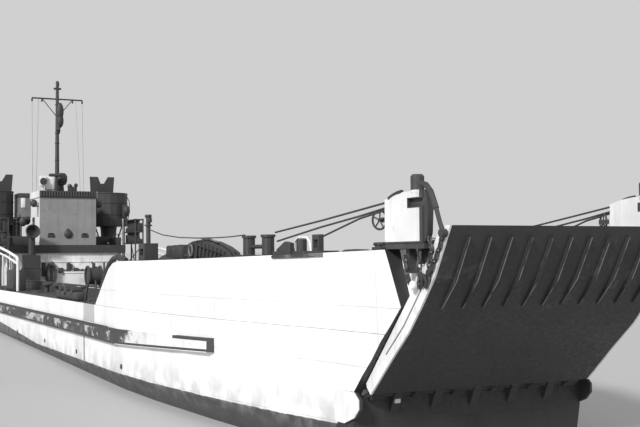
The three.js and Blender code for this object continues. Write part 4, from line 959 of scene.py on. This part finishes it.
def make_house_details():
    """Ledge, ports, door dogs, rails, pipes and lamps of the deckhouse."""
    front = HOUSE_FRONT_X
    trim = Kit()
    ledge_z = 4.55 * M
    trim.block(Vector((front - 0.002, -HOUSE_HALF, ledge_z - 0.012)),
               Vector((front + 0.02, HOUSE_HALF, ledge_z + 0.012)), 0.004)
    for side in SIDES:
        y = side * (HOUSE_HALF + 0.006)
        trim.rod(Vector((HOUSE_AFT_X, y, ledge_z)), Vector((-16.9 * M, y, ledge_z)), 0.012, 6)
        for x in (-17.8, -18.8, -19.8):
            trim.ring(Vector((x * M, y, 4.15 * M)), (0, 1, 0), 0.085, 0.014, 24, 6)
    for y in (-2.45, -1.65, 1.6, 2.4):
        trim.ring(Vector((front + 0.006, y * M, 4.12 * M)), (1, 0, 0), 0.085, 0.014, 24, 6)
    trim.done("house_trim", "white_paint")

    panes = Kit()
    for side in SIDES:
        y = side * (HOUSE_HALF + 0.004)
        for x in (-17.8, -18.8, -19.8):
            panes.rod(Vector((x * M, y - 0.003, 4.15 * M)), Vector((x * M, y + 0.003, 4.15 * M)), 0.075, 20)
    for y in (-2.45, -1.65, 1.6, 2.4):
        pane = Vector((front, y * M, 4.12 * M))
        panes.rod(pane + Vector((0.001, 0, 0)), pane + Vector((0.007, 0, 0)), 0.075, 20)
    panes.done("house_panes", "glass")

    gear = Kit()
    for y, wide, low, high in ((-1.36, 0.1, 3.75, 4.52), (-0.4, 0.12, 3.92, 4.22), (0.02, 0.1, 3.6, 4.5),
                               (0.2, 0.05, 4.1, 4.42), (0.46, 0.13, 4.02, 4.2), (0.82, 0.06, 3.98, 4.14)):
        gear.blocks(1, (-14.91, y - wide, low, -14.76, y + wide, high, 0.014))
    gear.path([at(-14.87, 0.5, 4.1), at(-14.86, 0.9, 4.08), at(-14.86, 1.4, 4.06)], 0.012, 6)
    gear.path([at(-14.87, -0.3, 4.06), at(-14.86, -0.1, 4.1), at(-14.87, 0.0, 4.3)], 0.01, 6)
    gear.blocks(1, (-14.85, 2.2, 3.22, -14.4, 2.75, 4.0, 0.03))
    gear.rods(1, (-14.6, 2.0, 3.22, -14.6, 2.0, 4.5, 0.025, 8))
    gear.done("house_front_gear")

    for side, tag in NAMED_SIDES:
        handles = Kit()
        handles.dogs(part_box(f"house_door_{tag}"), side, HOUSE_HALF + 0.012, (0.2, 0.5, 0.8), 0.02)
        handles.done(f"house_door_dogs_{tag}", "worn_edge", f"house_door_{tag}")


def make_bridge_details():
    """Window shutters, rim mats, ladders, lamps, racks and rails of the bridge."""
    front = WHEEL_FRONT_X
    half = 1.59 * M
    shutters = Kit()
    for y, wide in ((-0.95, 0.2), (0.95, 0.2)):
        shutters.block(Vector((front - 0.01, (y - wide) * M, 5.93 * M)),
                       Vector((front + 0.016, (y + wide) * M, 6.1 * M)), 0.006)
    shutters.turned(((0, 0), (0.11, 0), (0.12, 0.02), (0.09, 0.05), (0, 0.06)),
                    Vector((front, 0, 6.12 * M)), (1, 0, 0))
    shutters.block(Vector((front - 0.004, -0.05, 6.28 * M)), Vector((front + 0.03, 0.03, 6.42 * M)), 0.006)
    for i in range(21):
        y = -half + (i + 0.5) * 2 * half / 21
        shutters.rod(Vector((front + 0.03, y, 8.24 * M)), Vector((front + 0.03, y, 8.52 * M)), 0.036)
    shutters.done("rim_mats_and_shutters")

    lamps = Kit()
    for side in SIDES:
        y = side * (half + 0.13)
        lamps.ball(Vector((-15.2 * M, y, 7.86 * M)), 0.1, (0.9, 1, 1.1))
        lamps.rod(Vector((-15.22 * M, side * half, 7.7 * M)), Vector((-15.22 * M, y, 7.7 * M)), 0.02, 6)
    lamps.done("side_lamps")

    roof = Kit()
    roof.blocks(1, (-15.5, -0.98, 9.42, -15.2, -0.2, 9.58, 0.02))
    roof.rods(1, (-15.35, -0.55, 8.3, -15.35, -0.55, 9.45, 0.025, 8))
    roof.turned(((0, -0.16), (0.13, -0.16), (0.17, -0.06), (0.17, 0.08), (0.1, 0.17), (0, 0.18)),
                at(-16.0, -0.15, 9.33))
    roof.blocks(1, (-15.3, 0.05, 8.5, -15.0, 0.42, 8.85, 0.03))
    roof.ball(at(-15.1, 0.14, 8.86), 0.07)
    roof.rods(1, (-15.0, -1.36, 9.1, -14.93, -1.36, 9.1, 0.1, 16),
              (-16.9, 0.9, 8.3, -16.9, 0.9, 9.0, 0.03, 8))
    roof.ball(at(-16.9, 0.9, 9.05), 0.06)
    roof.done("roof_gear")

    chest = Kit()
    chest.blocks(1, (-15.6, -1.2, 8.62, -15.2, -0.68, 9.4, 0.05, 3))
    chest.done("roof_light_chest", "white_paint")

    ladders = Kit()
    for side in SIDES:
        y = side * 3.05
        for x in (-14.98, -15.5):
            ladders.rods(1, (x, y, 3.2, x, y, 5.1, 0.016, 6))
        ladders.steps((-14.98, y), (-15.5, y), 3.5, 0.28, 6)
        foot = at(-20.6, side * 1.2, 3.2)
        for shift in (-0.25, 0.25):
            ladders.rod(foot + Vector((0, shift * M, 0)), at(-20.55, side * 1.2 + shift, 5.4), 0.016, 6)
        ladders.steps((-20.58, side * 1.2 - 0.25), (-20.58, side * 1.2 + 0.25), 3.5, 0.28, 7)
    ladders.done("house_ladders", "grey_paint")

    rails = Kit()
    for side in SIDES:
        posts = [(-15.0, 3.25), (-16.2, 3.25), (-17.3, 3.25)]
        for x, y in posts:
            rails.rods(1, (x, side * y, 5.45, x, side * y, 6.15, 0.016, 6))
        for z in (5.8, 6.15):
            rails.path([at(x, side * y, z) for x, y in posts], 0.01, 6)
    rails.done("bridge_rails", "grey_paint")

    for side, tag in NAMED_SIDES:
        dogs = Kit()
        low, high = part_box(f"wheelhouse_door_{tag}")
        y = side * (half + 0.01)
        dogs.dogs((low, high), side, half + 0.01, (0.25, 0.75), 0.025)
        dogs.block(Vector((low.x + 0.09, y, high.z - 0.3)),
                   Vector((high.x - 0.1, y - side * 0.01, high.z - 0.12)), 0.003)
        dogs.done(f"wheelhouse_door_dogs_{tag}", "worn_edge", f"wheelhouse_door_{tag}")


def make_tub_details(side, tag):
    """Stiffening hoops, rungs, pillars and the shield's edges of each splinter tub."""
    kit = Kit()
    centre = at(TUB_X, side * TUB_Y, 0)
    for z in (6.72, 7.4, 8.1):
        kit.ring(centre + up(z * M), (0, 0, 1), TUB_RADIUS * M, 0.012, 40, 6)
    kit.ring(centre + up(8.7 * M), (0, 0, 1), 1.125 * M, 0.022, 40, 8)
    for i in range(4):
        angle = math.pi / 4 + i * math.pi / 2
        reach = Vector((math.cos(angle), math.sin(angle), 0))
        kit.rod(centre + reach * 0.42 * M + up(5.3 * M),
                centre + reach * 0.95 * M + up(6.72 * M), 0.022, 8)
    for i in range(5):
        kit.rung(centre + at(-1.17, 0, 6.9 + 0.35 * i), 0.02, -0.03)
    kit.done(f"tub_fittings_{tag}")

    edge = Kit()
    edge.ring(centre + up(8.72 * M), (0, 0, 1), 1.14 * M, 0.008, 40, 5)
    edge.done(f"tub_rim_wear_{tag}", "worn_edge")


def make_mast_details():
    """Lanterns, blocks, furled bundle, halyards and stays of the mast."""
    kit = Kit()
    yard_z = 14.24 * M
    kit.ball(Vector((MAST_X + 0.05, 0.07, 13.5 * M)), 0.1, (0.8, 1.1, 2.7))
    kit.ball(Vector((MAST_X + 0.05, 0.08, 12.95 * M)), 0.09, (0.8, 1.1, 2.4))
    kit.ball(Vector((MAST_X + 0.03, 0.03, 12.4 * M)), 0.06, (0.9, 1.0, 2.4))
    kit.block(Vector((MAST_X - 0.03, -0.11, 14.8 * M)), Vector((MAST_X + 0.05, 0.11, 14.92 * M)), 0.02)
    kit.ball(Vector((MAST_X, 0.01, 15.12 * M)), 0.05, (1, 1, 1.8))
    for y in (-1.48, -0.9, 0.9, 1.48):
        kit.ball(Vector((MAST_X, y * M, yard_z - 0.06)), 0.035, (0.8, 0.8, 1.4))
    kit.rod(Vector((MAST_X, 0, BRIDGE_FLOOR_Z)), Vector((MAST_X, 0, 9.3 * M)), 0.11, 12, 0.09)
    for z in (9.6, 10.6, 11.6, 12.2, 13.9):
        kit.ring(Vector((MAST_X, 0, z * M)), (0, 0, 1), 0.066, 0.01, 16, 6)
    kit.done("mast_fittings")

    wires = Kit()
    for y, foot_y in ((-1.48, -1.5), (-1.1, -1.3), (1.1, 1.3), (1.48, 1.5)):
        wires.rod(Vector((MAST_X, y * M, yard_z - 0.05)), at(-17.45, foot_y, 8.55), 0.0035, 4)
    wires.rod(Vector((MAST_X, 0, 13.9 * M)), at(-20.4, 0.3, 5.35), 0.005, 5)
    wires.done("mast_wires", "wire_rope")


def make_vents_and_funnel():
    """The cowl's rim and bands, funnel bands and rungs, and small vents on the casing."""
    kit = Kit()
    kit.ring(at(-13.86, -2.15, 6.25), (1, 0, 0.27), 0.36 * M, 0.02, 28, 8)
    kit.ring(at(-14.25, -2.15, 4.95), (0, 0, 1), 0.23 * M, 0.02, 20, 6)
    for z in (3.5, 4.2):
        kit.blocks(1, (-14.52, -2.61, z, -13.98, -1.69, z + 0.05, 0.006))
    low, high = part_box("funnel")
    centre = Vector(((low.x + high.x) / 2, 0, 0))
    for z in (5.2, 6.4, 7.1):
        kit.ring(centre + up(z * M), (0, 0, 1), 0.43 * M, 0.014, 32, 6, (1.34, 1, 1))
    for i in range(7):
        kit.rung(Vector((low.x - 0.01, 0, (5.0 + 0.3 * i) * M)), 0.03, -0.02)
    for x, y in ((-22.0, -0.9), (-22.0, 0.9), (-20.9, -1.1), (-20.9, 1.1)):
        kit.mushroom(at(x, y, 4.7), 0.14, SMALL_CAP)
    kit.done("vents_and_bands")

    skylight = Kit()
    skylight.blocks(1, (-22.3, -0.75, 4.7, -21.95, 0.75, 4.92, 0.015))
    for side in SIDES:
        for x in (-21.9, -20.9):
            skylight.ring(at(x, side * 1.506, 4.0), (0, 1, 0), 0.08, 0.013, 22, 6)
    skylight.blocks(1, (-22.42, -0.35, 3.4, -22.4, 0.35, 4.5, 0.006))
    skylight.done("casing_trim", "white_paint")


def make_stern_details():
    """Wire on the winch drum, anchor rope, lids, life rings and the ensign staff of the stern."""
    kit = Kit()
    axis_z = 3.82
    for i in range(22):
        y = -0.72 + i * 0.055
        kit.ring(at(-25.6, y, axis_z), (0, 1, 0), 0.28 * M, 0.016, 20, 5)
    kit.done("winch_wire", "wire_rope")

    gear = Kit()
    for side in SIDES:
        for x in (-22.9, -26.2):
            gear.mushroom(at(x, side * 2.2, 3.2), 0.2)
        gear.slab(at(-24.6, side * 1.5, 3.2), (0.5, 0.28, 0.22), 0.02)
    for y in (-0.35, 0.35):
        gear.rods(1, (-28.95, y, 3.34, -28.95, y, 3.72, 0.05, 10))
    gear.rods(1, (-28.95, -0.5, 3.72, -28.95, 0.5, 3.72, 0.03, 8))
    gear.done("stern_gear")

    staff = Kit()
    staff.rods(1, (-28.8, 1.1, 3.3, -28.95, 1.1, 5.6, 0.02, 8, 0.012))
    staff.ball(at(-28.95, 1.1, 5.62), 0.025)
    for side in SIDES:
        staff.ring(at(-24.4, side * 4.07, 3.98), (0, 1, 0), 0.11, 0.032, 24, 10)
    staff.done("staff_and_rings", "white_paint")


def make_raft():
    """Lashings round the float before the house."""
    low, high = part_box("life_raft_starboard")
    centre = Vector((high.x - 0.065, (low.y + high.y) / 2, SIDE_DECK_Z + 0.68 * M))
    kit = Kit()
    for i in range(10):
        angle = 2 * math.pi * (i + 0.5) / 10
        place = centre + Vector((0, math.cos(angle) * 0.26 * M, math.sin(angle) * 0.575 * M))
        kit.ring(place, (0, -math.sin(angle), math.cos(angle)), 0.068, 0.006, 14, 5, (1, 0.62, 1))
    kit.done("float_lashings", "wire_rope")


def make_propellers(side, tag):
    """Three-bladed screws with pitched, rounded blades and a cone."""
    low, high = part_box(f"propeller_{tag}")
    centre = Vector(((low.x + high.x) / 2, (low.y + high.y) / 2, 0.52 * M))
    kit = Kit()
    length = high.x - low.x
    boss = ((0.021, 0.49), (0.05, 0.49), (0.052, 0.1), (0.045, -0.3), (0.03, -0.44), (0.021, -0.49),
            (0.021, 0.49))
    kit.turned([(radius, share * length) for radius, share in boss], centre, (1, 0, 0), 24)
    for i in range(3):
        blade = bmesh.new()
        bmesh.ops.create_uvsphere(blade, u_segments=20, v_segments=12, radius=1.0)
        bmesh.ops.scale(blade, vec=(0.062, 0.009, 0.085), verts=blade.verts)
        bmesh.ops.translate(blade, verts=blade.verts, vec=(0, 0, 0.112))
        for vert in blade.verts:
            twist = math.radians(35) + (0.21 - vert.co.z) * 3.2 * side
            vert.co = Matrix.Rotation(twist * side, 3, "Z") @ vert.co
        kit.take(blade, Matrix.Translation(centre) @ Matrix.Rotation(2 * math.pi * i / 3, 4, "X"))
    kit.done(f"screw_{tag}", "bronze", f"propeller_{tag}", (f"propeller_{tag}",))

    frame_low, frame_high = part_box(f"rudder_{tag}")
    bands = Kit()
    y = (frame_low.y + frame_high.y) / 2
    for z in (0.4, 0.7, 0.95):
        bands.block(Vector((-13.97, y - 0.024, z * M - 0.012)),
                    Vector((-13.5, y + 0.024, z * M + 0.012)), 0.004)
    bands.done(f"rudder_bands_{tag}", "worn_edge", f"rudder_{tag}")


def make_wing_details():
    """Racks beside the house, wing bulwarks, gear outside the tubs, and the signal platform's gear."""
    for side, tag in NAMED_SIDES:
        rack = Kit()
        y = side * 3.75
        for x in (-15.9, -13.5):
            for out in (-0.22, 0.22):
                rack.rods(1, (x, y + out, 3.2, x, y + out, 6.98, 0.022, 8))
        for z, x0, x1 in ((5.55, -15.95, -13.45), (6.9, -15.95, -13.45), (6.2, -15.95, -13.45)):
            rack.blocks(1, (x0, y - 0.26, z, x1, y + 0.26, z + 0.07, 0.008))
        rack.blocks(1, (-15.85, y - 0.05, 5.6, -13.55, y + 0.05, 6.9, 0.01))
        for i in range(4):
            x = -15.55 + 0.55 * i
            rack.blocks(1, (x, y - 0.24, 5.62, x + 0.4, y + 0.24, 6.1 - 0.09 * i, 0.02),
                        (x, y - 0.24, 6.26, x + 0.34, y + 0.24, 6.5 + 0.08 * i, 0.02))
        rack.rods(1, (-15.9, y - 0.22, 4.2, -13.5, y + 0.22, 5.5, 0.014, 6),
                  (-13.5, y - 0.22, 4.2, -15.9, y + 0.22, 5.5, 0.014, 6))
        rack.done(f"flag_rack_{tag}")

        pole = Kit()
        pole.rods(side, (-16.9, 3.72, 3.3, -16.9, 3.72, 7.1, 0.016, 6))
        pole.ring(at(-18.55, side * 4.2, 8.68), (0, 0, 1), 0.08, 0.01, 16, 6)
        pole.done(f"light_pole_{tag}", "white_paint")

        wing = Kit()
        wing.blocks(side, (-17.5, 1.75, 5.4, -17.42, 3.1, 6.05, 0.01),
                    (-17.3, 3.0, 5.4, -15.2, 3.12, 5.95, 0.01))
        for i in range(5):
            x = -17.2 + 0.5 * i
            wing.rods(side, (x, 3.13, 5.35, x, 3.13, 5.95, 0.012, 6))
        wing.done(f"wing_bulwark_{tag}")

        box = Kit()
        box.ball(at(-18.1, side * 4.25, 7.62), 0.15, (1, 0.8, 1.25))
        box.blocks(side, (-18.2, 4.0, 7.2, -17.95, 4.2, 8.0, 0.02))
        rail = [at(-18.0, side * 4.3, 8.45), at(-17.75, side * 4.35, 8.2), at(-17.65, side * 4.35, 7.6),
                at(-17.85, side * 4.3, 7.1), at(-18.1, side * 4.1, 6.95)]
        box.path(rail, 0.013)
        box.done(f"tub_outer_gear_{tag}")

    screen = Kit()
    screen.blocks(1, (-19.94, -4.3, 5.3, -19.88, -1.75, 7.15, 0.008))
    for y in (-4.2, -3.4, -2.6, -1.85):
        screen.rods(1, (-19.86, y, 5.3, -19.86, y, 7.3, 0.02, 6))
    screen.rods(1, (-19.86, -4.3, 7.2, -19.86, -1.75, 7.2, 0.02, 6))
    screen.done("wing_screen", "grey_paint")

    kit = Kit()
    low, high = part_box("signal_platform")
    top = high.z
    for near, far in ((low.y - 0.006, low.y + 0.02), (high.y - 0.02, high.y + 0.006)):
        kit.block(Vector((low.x + 0.006, near, top - 0.1)), Vector((high.x + 0.006, far, top + 0.03)), 0.006)
    kit.block(Vector((high.x - 0.02, low.y - 0.003, top - 0.1)),
              Vector((high.x + 0.012, high.y + 0.003, top + 0.03)), 0.006)
    for side in SIDES:
        y = side * 1.95
        kit.ball(at(-18.0, y, 6.92), 0.13, (0.8, 0.9, 1.1))
        kit.ball(at(-18.3, y - 0.28 * side, 7.0), 0.12, (0.8, 0.9, 1.1))
        kit.rods(1, (-18.1, side * 2.3, 6.92, -18.0, y, 6.92, 0.014, 6))
        for x in (-18.1, -19.8):
            kit.rods(side, (x, 2.3, 5.3, x, 2.3, 7.5, 0.016, 6))
        kit.steps((-18.1, side * 2.3 - 0.16), (-18.1, side * 2.3 + 0.16), 5.6, 0.26, 7)
    kit.done("signal_platform_gear")

    patch = Kit()
    for side in SIDES:
        patch.blocks(side, (-18.26, 1.77, 7.75, -18.22, 2.03, 8.32, 0.006))
    patch.blocks(1, (-17.42, 2.9, 5.58, -17.38, 3.08, 5.7, 0.006))
    patch.done("signal_platform_panels", "white_paint")


def make_floor():
    mesh = bmesh.new()
    bmesh.ops.create_grid(mesh, x_segments=2, y_segments=2, size=160)
    for vert in mesh.verts:
        vert.co.z = water_z(vert.co.x)
    data = bpy.data.meshes.new("floor")
    mesh.to_mesh(data)
    mesh.free()
    floor = bpy.data.objects.new("floor", data)
    bpy.context.scene.collection.objects.link(floor)
    g = Graph("floor")
    data.materials.append(g.finish(grey(0.42), 0.6))


def make_camera():
    data = bpy.data.cameras.new("camera")
    data.lens = LENS
    data.sensor_width = 36
    data.clip_end = 500
    camera = bpy.data.objects.new("camera", data)
    bpy.context.scene.collection.objects.link(camera)
    upright = Vector((TRIM, 0, 1)).normalized()
    ahead = Vector((-math.cos(CAMERA_TURN), math.sin(CAMERA_TURN), 0))
    ahead = (ahead - upright * ahead.dot(upright)).normalized()
    look = ahead * math.cos(CAMERA_PITCH) + upright * math.sin(CAMERA_PITCH)
    right = ahead.cross(upright).normalized()
    top = right.cross(look).normalized()
    turn = Matrix((right, top, -look)).transposed().to_4x4()
    camera.matrix_world = Matrix.Translation(CAMERA_AT) @ turn
    bpy.context.scene.camera = camera


def make_light():
    world = bpy.data.worlds.new("studio")
    world.use_nodes = True
    background = world.node_tree.nodes["Background"]
    background.inputs["Color"].default_value = (0.74, 0.74, 0.74, 1)
    background.inputs["Strength"].default_value = SKY_STRENGTH
    bpy.context.scene.world = world
    sun = bpy.data.lights.new("sun", "SUN")
    sun.energy = SUN_ENERGY
    sun.angle = math.radians(9)
    lamp = bpy.data.objects.new("sun", sun)
    lamp.rotation_euler = SUN_TRAVEL.to_track_quat("-Z", "Y").to_euler()
    bpy.context.scene.collection.objects.link(lamp)
    bpy.context.scene.view_settings.view_transform = "Standard"


for make, turns in ((make_camera, ONCE), (make_floor, ONCE), (make_light, ONCE), (dress_frame, ONCE),
                    (make_door_details, ONCE), (make_horn_details, NAMED_SIDES),
                    (make_bow_rigging, NAMED_SIDES), (make_stowed_gear, NAMED_SIDES),
                    (make_bow_deck_fittings, NAMED_SIDES), (make_hull_details, NAMED_SIDES),
                    (make_hold, ONCE), (make_side_deck_gear, NAMED_SIDES), (make_house_details, ONCE),
                    (make_bridge_details, ONCE), (make_wing_details, ONCE), (make_tub_details, NAMED_SIDES),
                    (make_mast_details, ONCE), (make_vents_and_funnel, ONCE), (make_stern_details, ONCE),
                    (make_raft, ONCE), (make_propellers, NAMED_SIDES)):
    for turn in turns:
        make(*turn)
